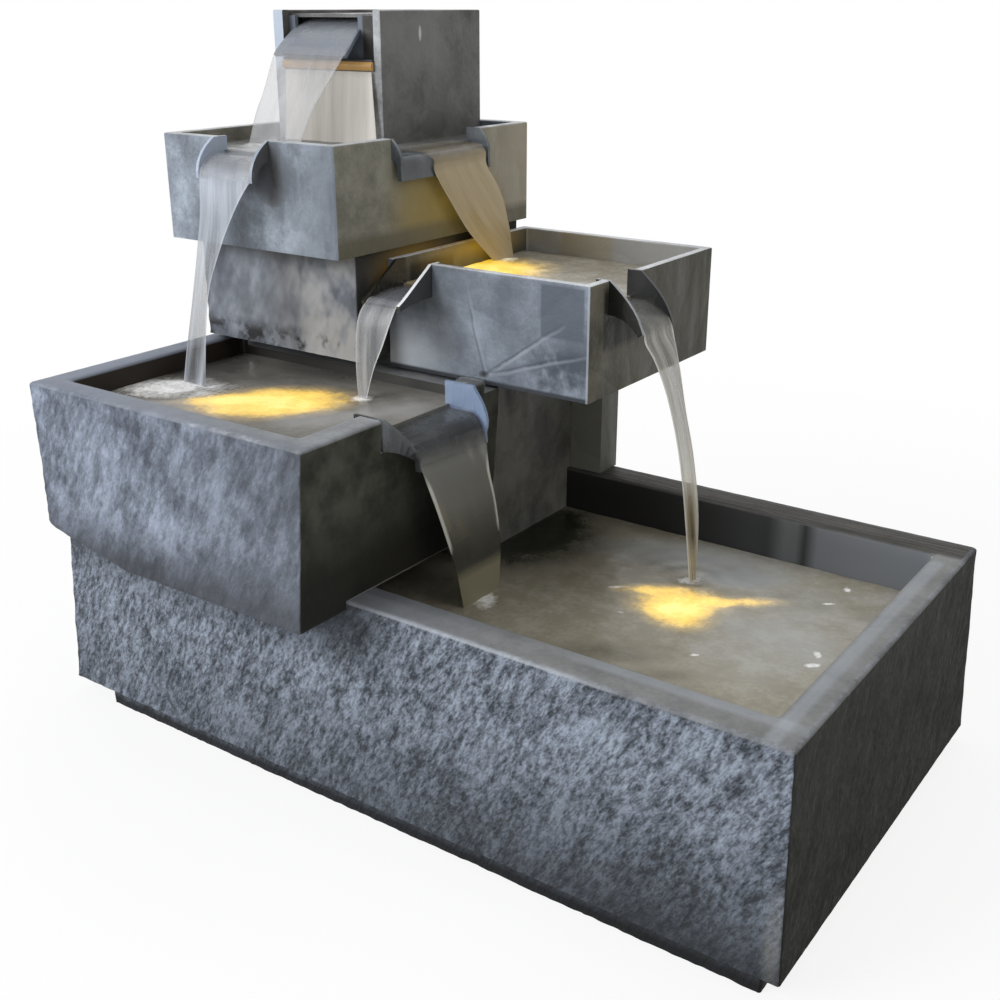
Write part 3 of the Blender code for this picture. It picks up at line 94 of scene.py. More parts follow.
class Wire:
    """A shader value. Arithmetic on wires and numbers adds the Math node that works it out."""

    def __init__(self, graph, socket):
        self.graph = graph
        self.socket = socket

    def __add__(self, other):
        return self.graph.math("ADD", self, other)

    def __radd__(self, other):
        return self.graph.math("ADD", other, self)

    def __sub__(self, other):
        return self.graph.math("SUBTRACT", self, other)

    def __rsub__(self, other):
        return self.graph.math("SUBTRACT", other, self)

    def __mul__(self, other):
        return self.graph.math("MULTIPLY", self, other)

    def __rmul__(self, other):
        return self.graph.math("MULTIPLY", other, self)

    def __pow__(self, other):
        return self.graph.math("POWER", self, other)

    def __abs__(self):
        return self.graph.math("ABSOLUTE", self)


class Graph:
    """A node tree in the making. Its methods add nodes, and return one output of the last as a wire."""

    def __init__(self, tree):
        self.tree = tree

    def node(self, kind, settings=None, inputs=None, output=0):
        """Adds a node with its settings, fills its sockets with numbers or wires, and returns one output."""
        made = self.tree.nodes.new(kind)
        for key, value in (settings or {}).items():
            if key == "stops":
                stops = made.color_ramp.elements
                for _ in value[2:]:
                    stops.new(0.5)
                for stop, (at, colour) in zip(stops, value):
                    stop.position = at
                    stop.color = (*colour, 1.0)
            else:
                setattr(made, key, value)
        for key, value in (inputs or {}).items():
            self.fill(made.inputs[key], value)
        return Wire(self, made.outputs[output])

    def fill(self, socket, value):
        """Links a wire to a socket, or sets the socket's number, vector or colour."""
        if isinstance(value, Wire):
            self.tree.links.new(value.socket, socket)
        elif isinstance(value, tuple) and socket.type == "RGBA":
            socket.default_value = (*value, 1.0)
        else:
            socket.default_value = value

    def math(self, operation, *values):
        """The Math node for an operation on wires and numbers."""
        return self.node("ShaderNodeMath", {"operation": operation}, dict(enumerate(values)))

    def span(self, value, low, high, to_low=0.0, to_high=1.0):
        """Carries low..high to to_low..to_high, and holds the ends beyond them."""
        ends = {1: low, 2: high, 3: to_low, 4: to_high}
        return self.node("ShaderNodeMapRange", {}, {0: value, **ends})

    def seen_directly(self):
        """1 for what the camera, glossy and clear surfaces show of the surroundings, 0 for their light."""
        shown, glossy, clear = (
            self.node("ShaderNodeLightPath", output=f"Is {ray} Ray")
            for ray in ("Camera", "Glossy", "Transmission")
        )
        return self.math("MAXIMUM", self.math("MAXIMUM", shown, glossy), clear)


class Finish(Graph):
    """One procedural material round its Principled shader. place is the surface point in object coordinates,
    and x, y and z are its three coordinates."""

    def __init__(self, name, roughness, specular=0.5):
        self.material = bpy.data.materials.new(name)
        self.material.use_nodes = True
        super().__init__(self.material.node_tree)
        self.shader = self.tree.nodes["Principled BSDF"]
        self.put("Roughness", roughness)
        self.put("Specular IOR Level", specular)
        self.place = self.node("ShaderNodeTexCoord", output="Object")
        self.x, self.y, self.z = (
            self.node("ShaderNodeSeparateXYZ", {}, {0: self.place}, axis) for axis in "XYZ"
        )

    def put(self, name, value):
        """Fills one of the shader's own sockets."""
        self.fill(self.shader.inputs[name], value)

    def noise(self, scale, detail=4.0, roughness=0.5, stretch=(1, 1, 1), turn=(0, 0, 0), at=None):
        """Soft noise round 0.5. stretch draws it out along each axis of the turned frame: at a scale of 1 it
        is the size of a lump in metres."""
        spot = self.node(
            "ShaderNodeMapping",
            {"vector_type": "TEXTURE"},
            {"Vector": at or self.place, "Rotation": turn, "Scale": stretch},
        )
        inputs = {"Vector": spot, "Scale": scale, "Detail": detail, "Roughness": roughness}
        return self.node("ShaderNodeTexNoise", {}, inputs, "Fac")

    def ramp(self, value, *stops):
        """A colour that runs through stops of (value, colour)."""
        return self.node("ShaderNodeValToRGB", {"stops": stops}, {0: value})

    def mix(self, share, first, second):
        """The first colour where share is 0, the second where it is 1, and their blend between."""
        return self.node("ShaderNodeMix", {"data_type": "RGBA"}, {0: share, 6: first, 7: second}, 2)

    def near(self, centre, reach):
        """1 at a point of the object, falling to 0 at a reach from it along x, y and z."""
        offset = self.node("ShaderNodeVectorMath", {"operation": "SUBTRACT"}, {0: self.place, 1: centre})
        scaled = self.node("ShaderNodeVectorMath", {"operation": "DIVIDE"}, {0: offset, 1: reach})
        length = self.node("ShaderNodeVectorMath", {"operation": "LENGTH"}, {0: scaled}, "Value")
        return self.span(length, 0.0, 1.0, 1.0, 0.0)

    def within(self, axis, low, high, soft):
        """1 between two limits along the x, y or z axis, fading to 0 over a soft edge outside them."""
        at = getattr(self, axis)
        return self.span(at, low - soft, low) * self.span(at, high + soft, high)

    def facing(self, axis, sign=1.0):
        """1 on faces that look along an axis, or against it where sign is -1, and 0 on the others."""
        normal = self.node("ShaderNodeNewGeometry", output="Normal")
        along = self.node("ShaderNodeSeparateXYZ", {}, {0: normal}, axis)
        return self.span(along * sign, 0.55, 0.85)

    def stain(self, part, share, colour):
        """Lays a colour over one of the finish's named colours, in the share that a wire gives."""
        setattr(self, part, self.mix(share, getattr(self, part), colour))

    def glow(self, colour, strength=1.0):
        """Light that the surface gives off."""
        self.put("Emission Color", colour)
        self.put("Emission Strength", strength)

    def bump(self, height, distance):
        """Relief in the shading alone: height runs from 0 to 1 over a distance in metres."""
        self.put("Normal", self.node("ShaderNodeBump", {}, {"Height": height, "Distance": distance}))


world = bpy.data.worlds.new("room")
bpy.context.scene.world = world
world.use_nodes = True
room = Graph(world.node_tree)
background = world.node_tree.nodes["Background"].inputs
room_light = 0.32
room.fill(background["Color"], (1.0, 1.0, 1.0))
room.fill(background["Strength"], room.span(room.seen_directly(), 0.0, 1.0, room_light, 1.0))

floor_finish = Finish("studio_floor", 0.9, 0.1)
floor_finish.put("Base Color", (0.9, 0.9, 0.9))
away = floor_finish.node("ShaderNodeVectorMath", {"operation": "LENGTH"}, {0: floor_finish.place}, "Value")
beside_object, far_off, pale_grey = 0.4, 1.3, 0.86
whiteness = floor_finish.span(away, beside_object, far_off, pale_grey, 1.0)
painted = Wire(floor_finish, floor_finish.shader.outputs[0])
glowing = floor_finish.node("ShaderNodeEmission", {}, {"Strength": 1.0})
share = floor_finish.seen_directly() * whiteness
shown = floor_finish.node("ShaderNodeMixShader", {}, {0: share, 1: painted, 2: glowing})
floor_finish.fill(floor_finish.tree.nodes["Material Output"].inputs["Surface"], shown)
floor_reach = 12.0
corners = [(x * floor_reach, y * floor_reach, 0) for x, y in ((-1, -1), (1, -1), (1, 1), (-1, 1))]
floor_mesh = bpy.data.meshes.new("studio_floor")
floor_mesh.from_pydata(corners, [], [(0, 1, 2, 3)])
floor_mesh.materials.append(floor_finish.material)
floor = bpy.data.objects.new("studio_floor", floor_mesh)
bpy.context.scene.collection.objects.link(floor)


# Base trough. A resin casting faced like split slate: slanting chisel strokes over broad lumps on its four
# flared walls, a hand-smoothed rim, and a plain plinth. The relief is cut inwards, so the casting keeps its
# size.
TROUGH_FLARE = 0.007
STROKE_SLANT = math.radians(62)
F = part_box("base_trough")[0].y + TROUGH_FLARE


def lattice_noise(u, v, seed):
    """Value noise from 0 to 1: random heights on a unit lattice, joined by smooth steps."""
    heights = np.random.default_rng(seed).random((256, 256))
    cell_u, cell_v = np.floor(u).astype(int), np.floor(v).astype(int)
    step_u, step_v = u - cell_u, v - cell_v
    step_u, step_v = step_u**2 * (3 - 2 * step_u), step_v**2 * (3 - 2 * step_v)

    def row(up):
        """Heights along the lattice line below a point, or above it where up is 1."""
        first = heights[cell_u % 256, (cell_v + up) % 256]
        second = heights[(cell_u + 1) % 256, (cell_v + up) % 256]
        return first * (1 - step_u) + second * step_u

    return row(0) * (1 - step_v) + row(1) * step_v


def hewn(along, up, seed):
    """Depth from 0 to 1 of split-stone relief: slanting strokes of 30 by 8.5 mm and 13 by 4.5 mm, over lumps
    about 5 cm across and grit of 3.5 mm. It is their weighted sum, with the broad strokes folded at 0.5."""
    run = along * math.cos(STROKE_SLANT) + up * math.sin(STROKE_SLANT)
    across = up * math.cos(STROKE_SLANT) - along * math.sin(STROKE_SLANT)
    broad = lattice_noise(run / 0.030, across / 0.0085, seed)
    fine = lattice_noise(run / 0.013, across / 0.0045, seed + 1)
    lumps = lattice_noise(along / 0.052, up / 0.038, seed + 2)
    grit = lattice_noise(along / 0.0035, up / 0.0035, seed + 3)
    return 0.38 * np.abs(2 * broad - 1) ** 0.8 + 0.24 * fine + 0.30 * lumps + 0.08 * grit


def ring_round(x, y, radius, counts, corner_steps=4):
    """Points, outward normals and running length round a rectangle whose corners are quarter circles."""
    (x0, x1), (y0, y1) = x, y
    inner = np.array(
        [(x1 - radius, y0 + radius), (x1 - radius, y1 - radius), (x0 + radius, y1 - radius)]
        + [(x0 + radius, y0 + radius)]
    )
    points, normals = [], []
    for side in range(4):
        facing = math.radians(90 * side - 90)
        normal = np.array((math.cos(facing), math.sin(facing)))
        start, end = inner[side - 1] + radius * normal, inner[side] + radius * normal
        count = counts[side % 2]
        points.append(start + (end - start) * (np.arange(count) / count)[:, None])
        normals.append(np.tile(normal, (count, 1)))
        turn = facing + math.pi / 2 * np.arange(corner_steps) / corner_steps
        arc = np.stack([np.cos(turn), np.sin(turn)], 1)
        points.append(inner[side] + radius * arc)
        normals.append(arc)
    points, normals = np.concatenate(points), np.concatenate(normals)
    gaps = np.linalg.norm(np.roll(points, -1, 0) - points, axis=1)
    return points, normals, np.concatenate([[0], np.cumsum(gaps)[:-1]])


def piece_of(name, points, faces, material, body="fountain", sharp=None):
    """Links a mesh of world points as a piece that rides on a body. Edges over sharp degrees stay sharp."""
    mesh = bpy.data.meshes.new(name)
    mesh.from_pydata(points.tolist(), [], faces)
    mesh.shade_smooth()
    if sharp:
        mesh.set_sharp_from_angle(angle=math.radians(sharp))
    mesh.materials.append(material)
    piece = bpy.data.objects.new(name, mesh)
    bpy.context.scene.collection.objects.link(piece)
    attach(piece, body)
    return piece


def carry(piece, **values_by_label):
    """Gives each point of a piece numbers that its shader reads by their labels."""
    for label, values in values_by_label.items():
        layer = piece.data.attributes.new(label, "FLOAT", "POINT")
        layer.data.foreach_set("value", values.astype(np.float32))


def stone_casting(name, rows, material, depth, seed, step=0.003, rise=None):
    """A closed casting through level rings. A row is x limits, y limits, corner radius, height, relief share.

    The relief hewn(length round, height) times depth and the row's share moves each point inwards. It is a
    third as deep on the right face, which was rubbed down. rise(points, height) lifts a ring's points."""
    counts = [max(2, round((limits[1] - limits[0]) / step)) for limits in rows[2][:2]]
    length = ring_round(*rows[2][:3], counts)[2]
    layers, hollows = [], []
    shares = np.repeat([row[4] for row in rows], len(length))
    for x, y, radius, height, share in rows:
        points, normals, _ = ring_round(x, y, radius, counts)
        hollow = hewn(length, np.full(len(length), height), seed)
        inward = depth * share * hollow * (1 - 0.67 * np.clip(normals[:, 0], 0, 1))
        lift = rise(points, height) if rise else 0.0
        level = np.full(len(points), height) + lift
        layers.append(np.column_stack([points - normals * inward[:, None], level]))
        hollows.append(hollow)
    around = len(length)
    points = np.concatenate(layers)
    first = np.arange(around)
    second = (first + 1) % around
    base = np.arange(len(rows) - 1)[:, None] * around
    walls = np.stack([base + first, base + second, base + around + second, base + around + first], -1)
    faces = walls.reshape(-1, 4).tolist()
    faces.append(first[::-1].tolist())
    faces.append((first + around * (len(rows) - 1)).tolist())
    made = piece_of(name, points, faces, material, sharp=60)
    carry(made, hewn=shares, hollow=np.concatenate(hollows))
    return made


def wall_rows(x, y, bottom, top, flare, corner, step=0.003):
    """Rows up a flared, hewn outer wall. The relief fades over its top 7 mm and its lowest 3 mm."""
    rows = []
    for height in np.linspace(bottom, top, max(3, round((top - bottom) / step))):
        out = flare * (top - height) / (top - bottom)
        share = min(1.0, 0.45 + (top - height) / 0.012) * min(1.0, 0.6 + (height - bottom) / 0.008)
        rows.append(((x[0] - out, x[1] + out), (y[0] - out, y[1] + out), corner, height, share))
    return rows


def rim_rows(x, y, wall, rim, floor, corner, edge, step=0.012):
    """Rows over a rounded rim and down the inner walls to a floor. wall is the thickness of the left, right,
    front and back walls, and edge the radius of the rim's two edges."""
    left, right, front, back = wall
    rows = []
    for turn in np.radians([30, 60, 90]):
        inset = edge * (1 - math.cos(turn))
        height = rim - edge * (1 - math.sin(turn))
        rows.append(((x[0] + inset, x[1] - inset), (y[0] + inset, y[1] - inset), corner, height, 0.3))
    inside_x, inside_y = (x[0] + left, x[1] - right), (y[0] + front, y[1] - back)
    for share in (0.33, 0.66):
        outer, inner = np.array((x, y)), np.array((inside_x, inside_y))
        between = outer + (inner - outer) * share
        rows.append((tuple(between[0]), tuple(between[1]), corner, rim, 0.1))
    for turn in np.radians([90, 45, 0]):
        out = edge * (1 - math.cos(turn))
        height = rim - edge * (1 - math.sin(turn))
        limits_x = (inside_x[0] - out, inside_x[1] + out)
        limits_y = (inside_y[0] - out, inside_y[1] + out)
        share = 0.1 if turn else 0.0
        rows.append((limits_x, limits_y, corner + edge - out, height, share))
    for height in np.linspace(rim - edge - step, floor, max(2, round((rim - floor) / step))):
        rows.append((inside_x, inside_y, corner + edge, height, 0.0))
    return rows


def toned(colour, share, lift=0.0):
    """A colour times a share, which makes it darker or lighter, plus a lift."""
    return tuple(share * part + lift for part in colour)


class SplitStone(Finish):
    """Blue-grey split slate: short pale chips and fibres over dark grout, in patches a hand wide.

    body colours the hewn faces, rim the rubbed rims and inner the smooth inner walls. Each may be stained
    further before join() puts them together by the casting's own attributes. fine is the share of the small
    chips, the rest going to long gouges and patches."""

    def __init__(self, name, light, dark, rim, fine=1.0):
        super().__init__(name, 0.8, 0.15)
        chips = self.noise(1.0, 3, 0.55, stretch=(0.0034, 0.0034, 0.0085), turn=(0.0, 0.5, 0.0))
        specks = self.noise(1.0, 2, 0.55, stretch=(0.0015, 0.0015, 0.0032), turn=(0.0, 0.7, 0.0))
        gouges = self.noise(1.0, 3, 0.5, stretch=(0.0095, 0.0095, 0.034), turn=(0.0, 0.44, 0.0))
        patches = self.noise(1.0, 3, 0.55, stretch=(0.038, 0.038, 0.050))
        hollow = self.node("ShaderNodeAttribute", {"attribute_name": "hollow"}, output="Fac")
        broad = 1.0 - fine
        small = chips * 0.54 + specks * 0.30
        strokes = 0.24 + 0.10 * broad - 0.22 * broad**3
        self.patches = patches
        self.shade = small * fine + gouges * strokes + patches * (0.17 + 0.74 * broad) + 0.11 * broad**3
        # Painted shade: the deeper hollows of the cut relief are coloured darker.
        self.shade = self.shade - (hollow - 0.45) * 0.16
        self.body = self.ramp(
            self.shade,
            (0.50, dark),
            (0.61, tuple(0.5 * (a + b) for a, b in zip(light, dark))),
            (0.69, light),
            (0.80, toned(light, 1.42)),
        )
        self.relief = chips * 0.45 * fine + gouges * (0.40 - 0.22 * broad) + specks * 0.15 * fine
        self.rubbed = self.noise(1.0, 4, 0.62, stretch=(0.028, 0.028, 0.028))
        scuffs = self.noise(1.0, 3, 0.6, stretch=(0.0035, 0.0035, 0.0035))
        wear = self.rubbed * 0.80 + scuffs * 0.20
        self.rim = self.ramp(wear, (0.36, toned(rim, 0.70)), (0.62, rim))
        self.inner = self.rim

    def join(self):
        """Hewn faces, worn rim and inner walls, told apart by the relief share that each point carries."""
        hewn_share = self.node("ShaderNodeAttribute", {"attribute_name": "hewn"}, output="Fac")
        rough = self.span(hewn_share, 0.25, 0.42)
        # Wear and painted highlight: the rim's outer rounding turns paler in rubbed patches.
        at_edge = self.span(abs(hewn_share - 0.32), 0.0, 0.07, 0.40, 0.0)
        rim_edge_wear_and_highlight = at_edge * self.span(self.rubbed, 0.42, 0.56)
        rim = self.mix(rim_edge_wear_and_highlight, self.rim, (0.36, 0.38, 0.41))
        smooth = self.mix(self.span(hewn_share, 0.02, 0.08), self.inner, rim)
        self.put("Base Color", self.mix(rough, smooth, self.body))
        self.put("Roughness", self.span(self.shade + (rough - 1.0) * 0.3, 0.3, 0.8, 0.50, 0.90))
        cut = rough * (1.0 - self.facing("X") * 0.8)
        self.bump((self.relief - 0.5) * cut + self.rubbed * 0.05, 0.0042)
        return self.material


edge_round = 0.003
trough_x, trough_y, trough_rim, trough_floor = (-0.350, 0.350), (F, F + 0.383), 0.187, 0.045
trough_walls = (0.0547, 0.026, 0.034, 0.034)
plinth_x, plinth_y, plinth_top = (-0.310, 0.343), (F - 0.003, F + 0.386), 0.0155
trough_rows = [
    (plinth_x, plinth_y, edge_round, height, share)
    for height, share in ((0.0, 0.8), (0.004, 0.6), (0.008, 0.55), (0.012, 0.6), (plinth_top, 0.6))
]
trough_rows += wall_rows(trough_x, trough_y, plinth_top, trough_rim - edge_round, TROUGH_FLARE, edge_round)
trough_rows += rim_rows(trough_x, trough_y, trough_walls, trough_rim, trough_floor, edge_round, edge_round)
stone = SplitStone(
    "trough_split_stone",
    light=(0.238, 0.272, 0.328),
    dark=(0.040, 0.046, 0.057),
    rim=(0.210, 0.214, 0.215),
)
low_right = stone.span(stone.z, 0.130, 0.020) * stone.span(stone.x, -0.25, 0.25, 0.30, 1.0)
stone.stain("body", low_right * 0.85, (0.024, 0.026, 0.029))
# Painted shadow on the trough's front, under the lower bowl's overhang.
painted_shadow_under_bowl = stone.span(stone.z, 0.118, 0.172) * stone.span(stone.x, 0.05, -0.02, 0.0, 0.85)
stone.stain("body", painted_shadow_under_bowl, (0.030, 0.032, 0.036))
# Painted shade on the plinth, under the flare of the walls.
painted_plinth_shade = stone.span(stone.z, 0.016, 0.006, 0.0, 0.9)
stone.stain("body", painted_plinth_shade, (0.008, 0.008, 0.009))
chipped_corner = stone.near((0.349, F, 0.045), (0.010, 0.010, 0.050)) * stone.rubbed
stone.stain("body", chipped_corner, (0.34, 0.34, 0.32))
# The right face: near black, partly the stone's own darker tone and partly painted shade, deeper towards the
# bottom and lighter near the top as painted light.
right_face_with_painted_shade = stone.ramp(stone.rubbed, (0.36, (0.007, 0.0075, 0.005)), (0.66, (0.020, 0.021, 0.017)))
painted_shade_low_right = stone.span(stone.z, 0.13, 0.02, 0.0, 0.9)
right_face_with_painted_shade = stone.mix(painted_shade_low_right, right_face_with_painted_shade, (0.003, 0.003, 0.002))
painted_light_upper_right = stone.span(stone.z, 0.12, 0.18, 0.0, 0.5)
right_face_with_painted_shade = stone.mix(painted_light_upper_right, right_face_with_painted_shade, (0.030, 0.031, 0.027))
stone.stain("body", stone.facing("X"), right_face_with_painted_shade)
cool_front = stone.span(stone.x, 0.15, -0.08) * stone.span(stone.y, F + 0.05, F + 0.03)
stone.stain("rim", cool_front * 0.8, (0.150, 0.168, 0.205))
inner_edge = stone.within("y", F + 0.024, F + 0.034, 0.006) * stone.span(stone.x, 0.20, 0.0)
stone.stain("rim", inner_edge * 0.5, (0.085, 0.092, 0.105))
# Wear and painted highlight: a pale line along the front arris of the rim.
arris_wear_and_highlight = stone.span(stone.y, F + 0.0045, F + 0.0015) * stone.within("x", -0.02, 0.17, 0.06)
stone.stain("rim", arris_wear_and_highlight * 0.75, (0.46, 0.49, 0.54))
# Painted highlights: pale lines near the inner edges of the front and right rims.
painted_front_rim_highlight = stone.within("y", F + 0.024, F + 0.031, 0.005) * stone.within("x", 0.20, 0.322, 0.06)
painted_right_rim_highlight = stone.within("x", 0.329, 0.335, 0.004) * stone.span(stone.y, F + 0.34, F + 0.33)
stone.stain("rim", (painted_front_rim_highlight + painted_right_rim_highlight) * 0.40, (0.34, 0.37, 0.41))
saw_marks = stone.noise(1.0, 3, 0.6, stretch=(0.10, 0.0022, 0.01))
back_rim = stone.ramp(saw_marks, (0.40, (0.020, 0.019, 0.016)), (0.60, (0.070, 0.067, 0.061)))
stone.stain("rim", stone.span(stone.y, F + 0.345, F + 0.352), back_rim)
# Painted reflection: the inner face of the right wall is made pale for the wet glare it catches.
stone.stain("inner", stone.facing("X", -1.0), (0.50, 0.52, 0.545))
# The inner back wall, wet and mostly in painted shade: near black at the left, with paler bands towards the
# right.
wet_back_wall_with_painted_shade = stone.ramp(
    stone.span(stone.x, -0.05, 0.33),
    (0.0, (0.030, 0.030, 0.030)),
    (0.42, (0.034, 0.034, 0.034)),
    (0.60, (0.050, 0.052, 0.055)),
    (0.64, (0.125, 0.130, 0.135)),
    (0.67, (0.115, 0.120, 0.125)),
    (0.69, (0.032, 0.032, 0.033)),
    (0.72, (0.155, 0.165, 0.180)),
    (1.0, (0.170, 0.180, 0.195)),
)
stone.stain("inner", stone.facing("Y", -1.0), wet_back_wall_with_painted_shade)
trough = stone_casting("trough_casting", trough_rows, stone.join(), depth=0.0030, seed=11)
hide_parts("base_trough")


def cut_away(piece, points, faces):
    """Takes a closed shape out of a piece with an exact Boolean, and keeps the result as its mesh."""
    mesh = bpy.data.meshes.new("cutter")
    mesh.from_pydata(points.tolist(), [], faces)
    cutter = bpy.data.objects.new("cutter", mesh)
    bpy.context.scene.collection.objects.link(cutter)
    modifier = piece.modifiers.new("cut", "BOOLEAN")
    modifier.object = cutter
    modifier.solver = "EXACT"
    graph = bpy.context.evaluated_depsgraph_get()
    result = bpy.data.meshes.new_from_object(piece.evaluated_get(graph), depsgraph=graph)
    piece.modifiers.clear()
    old, piece.data = piece.data, result
    result.name = piece.name
    bpy.data.meshes.remove(old)
    bpy.data.objects.remove(cutter)
    bpy.data.meshes.remove(mesh)


def bored(piece, centre, radius, depth_from, depth_to, facets=32):
    """Cuts a round bore along Y through a piece: two rings of points on a circle, joined by flat facets."""
    turn = np.arange(facets) * math.tau / facets
    across, up = centre[0] + radius * np.cos(turn), centre[2] + radius * np.sin(turn)
    ends = [
        np.column_stack([across, np.full(facets, centre[1] + depth), up]) for depth in (depth_from, depth_to)
    ]
    faces = [(k, k + facets, (k + 1) % facets + facets, (k + 1) % facets) for k in range(facets)]
    faces += [tuple(range(facets)), tuple(range(2 * facets - 1, facets - 1, -1))]
    cut_away(piece, np.concatenate(ends), faces)


# The drain's bore goes through the back wall, with a shallow recess for the plug's seal.
drain = (0.250, trough_y[1], 0.060)
bored(trough, drain, radius=0.0151, depth_from=-0.002, depth_to=0.02)
bored(trough, drain, radius=0.009, depth_from=-0.04, depth_to=0.01)


# Lower bowl. The same split-stone casting as the trough, standing on its left end. Its lip hooks down over
# the trough's front and rises towards the left corner, its right wall leans in, and a notch in that wall
# takes the side spout.
bowl_x, bowl_y = (-0.303, 0.0), (F - 0.052, F + 0.189)
bowl_foot, bowl_seat, bowl_rim = 0.1768, 0.1873, 0.3240
bowl_walls = (0.024,) * 4
foot_round, wall_lean, wall_steps = 0.007, 0.0115, 46
lip_back = F - 0.001
lower_sill = bowl_rim - 0.0215


def bowl_rise(points, height):
    """Lift of 20 mm at the lip's front left corner, less to the right, to the back and up the wall."""
    from_left = np.clip(1 - (points[:, 0] - bowl_x[0]) / 0.095, 0, 1)
    from_front = np.clip(1 - (points[:, 1] - bowl_y[0]) / (lip_back - bowl_y[0]), 0, 1)
    top, low = bowl_rim - edge_round, bowl_foot + foot_round
    return 0.020 * from_left * from_front * np.clip((top - height) / (top - low), 0, 1)


def box_shape(x, y, z):
    """Corner points and outward faces of a box between pairs of limits."""
    points = np.array([(a, b, c) for c in z for b in y for a in x], float)
    faces = [(0, 2, 3, 1), (4, 5, 7, 6), (0, 1, 5, 4), (2, 6, 7, 3), (0, 4, 6, 2), (1, 3, 7, 5)]
    return points, faces


bowl_rows = []
profile = [
    (foot_round * (1 - math.sin(turn)), bowl_foot + foot_round * (1 - math.cos(turn)))
    for turn in np.radians([0, 22, 45, 67])
]
wall_heights = np.linspace(bowl_foot + foot_round, bowl_rim - edge_round, wall_steps)
profile += [(0.0, height) for height in wall_heights]
for inset, height in profile:
    lean = wall_lean * (bowl_rim - height) / (bowl_rim - bowl_foot)
    share = min(1.0, 0.45 + (bowl_rim - edge_round - height) / 0.012)
    limits_x = (bowl_x[0] + inset, bowl_x[1] - lean - inset)
    bowl_rows.append((limits_x, (bowl_y[0] + inset, bowl_y[1] - inset), edge_round, height, share))
bowl_rows += rim_rows(bowl_x, bowl_y, bowl_walls, bowl_rim, bowl_seat + 0.038, edge_round, edge_round)
stone = SplitStone(
    "lower_bowl_split_stone",
    light=(0.245, 0.278, 0.345),
    dark=(0.070, 0.080, 0.102),
    rim=(0.285, 0.295, 0.305),
    fine=0.55,
)
shaded_foot = stone.span(stone.z, 0.232, 0.190, 0.0, 0.8)
stone.stain("body", shaded_foot, (0.040, 0.042, 0.048))
greyer_right = stone.span(stone.x, -0.17, -0.01, 0.0, 0.50)
stone.stain("body", greyer_right, (0.075, 0.081, 0.092))
# The right face: darker and olive, partly its own tone and partly painted shade that deepens towards the
# bottom.
right_face_with_painted_shade = stone.ramp(stone.rubbed, (0.36, (0.027, 0.028, 0.022)), (0.64, (0.074, 0.076, 0.062)))
right_face_with_painted_shade = stone.mix(stone.span(stone.z, 0.270, 0.215), right_face_with_painted_shade, (0.016, 0.016, 0.013))
stone.stain("body", stone.facing("X"), right_face_with_painted_shade)
cool_left = stone.span(stone.x, -0.06, -0.24)
stone.stain("rim", cool_left * 0.85, (0.185, 0.208, 0.262))
front_rim = stone.span(stone.y, F - 0.030, F - 0.045)
stone.stain("rim", front_rim * 0.55, stone.mix(0.5, stone.body, (0.165, 0.185, 0.225)))
# Painted glints: small pale spots along the front edge of the rim.
painted_rim_edge_glints = stone.span(stone.y, F - 0.046, F - 0.050) * stone.within("x", -0.110, -0.050, 0.012)
stone.stain("rim", painted_rim_edge_glints * stone.span(stone.rubbed, 0.48, 0.60), (0.62, 0.64, 0.68))
behind_notch = stone.span(stone.x, -0.030, -0.024) * stone.span(stone.y, F + 0.140, F + 0.152)
stone.stain("rim", behind_notch * 0.7, (0.060, 0.062, 0.062))
# Painted shade inside the bowl above the water: the inner left wall near black, and the back wall darkest at
# its left end.
stone.stain("inner", stone.facing("X"), (0.030, 0.024, 0.020))
along_back = stone.span(stone.x, -0.27, -0.05)
back_wall = stone.ramp(along_back, (0.0, (0.028, 0.025, 0.022)), (1.0, (0.075, 0.075, 0.070)))
stone.stain("inner", stone.facing("Y", -1.0), back_wall)
bowl = stone_casting(
    "lower_bowl_casting", bowl_rows, stone.join(), depth=0.0030, seed=23, rise=bowl_rise
)
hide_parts("lower_bowl")
past_left, past_right = -0.34, 0.03
seat = ((past_left, past_right), (lip_back, F + 0.22), (0.15, bowl_seat))
notch = ((-0.0285, past_right), (F + 0.0347, F + 0.1503), (lower_sill - 0.0033, bowl_rim + 0.02))
riser_rebate = ((past_left, past_right), (F + 0.165, F + 0.22), (0.3135, 0.36))
for x, y, z in (seat, notch, riser_rebate):
    cut_away(bowl, *box_shape(x, y, z))


# Stone riser. A hollow split-stone block that carries the upper bowl. The light of the lamp beside it colours
# the foot of its right face.
riser_x, riser_y = (-0.295, -0.1115), (F + 0.137, F + 0.373)
riser_foot, riser_wall_top, riser_rim, riser_edge = 0.328, 0.4165, 0.4177, 0.0012
riser_rows = wall_rows(riser_x, riser_y, riser_foot, riser_wall_top, 0.0, edge_round)
riser_rows += rim_rows(riser_x, riser_y, (0.012,) * 4, riser_rim, 0.340, edge_round, riser_edge)


def lamp_lit(finish, centre, reach, colour):
    """Amber light from a nearby lamp, as a soft glow round a point of the surface."""
    finish.glow(finish.mix(finish.near(centre, reach) ** 1.6, (0.0, 0.0, 0.0), colour))


stone = SplitStone(
    "riser_split_stone",
    light=(0.222, 0.242, 0.278),
    dark=(0.100, 0.111, 0.131),
    rim=(0.20, 0.20, 0.20),
    fine=0.16,
)
# Paler in soft patches over its right part.
paler_right_part = stone.span(stone.x, -0.215, -0.165) * stone.span(stone.patches, 0.40, 0.55)
stone.stain("body", paler_right_part * 0.80, (0.345, 0.345, 0.352))
# Dark blobs in patches along the foot.
dark_blobs_at_foot = stone.span(stone.z, 0.350, 0.338) * stone.span(stone.rubbed, 0.50, 0.60)
stone.stain("body", dark_blobs_at_foot, (0.035, 0.035, 0.037))
top_shadow = stone.span(stone.z, 0.402, 0.412, 0.0, 0.5)
stone.stain("body", top_shadow, (0.105, 0.105, 0.105))
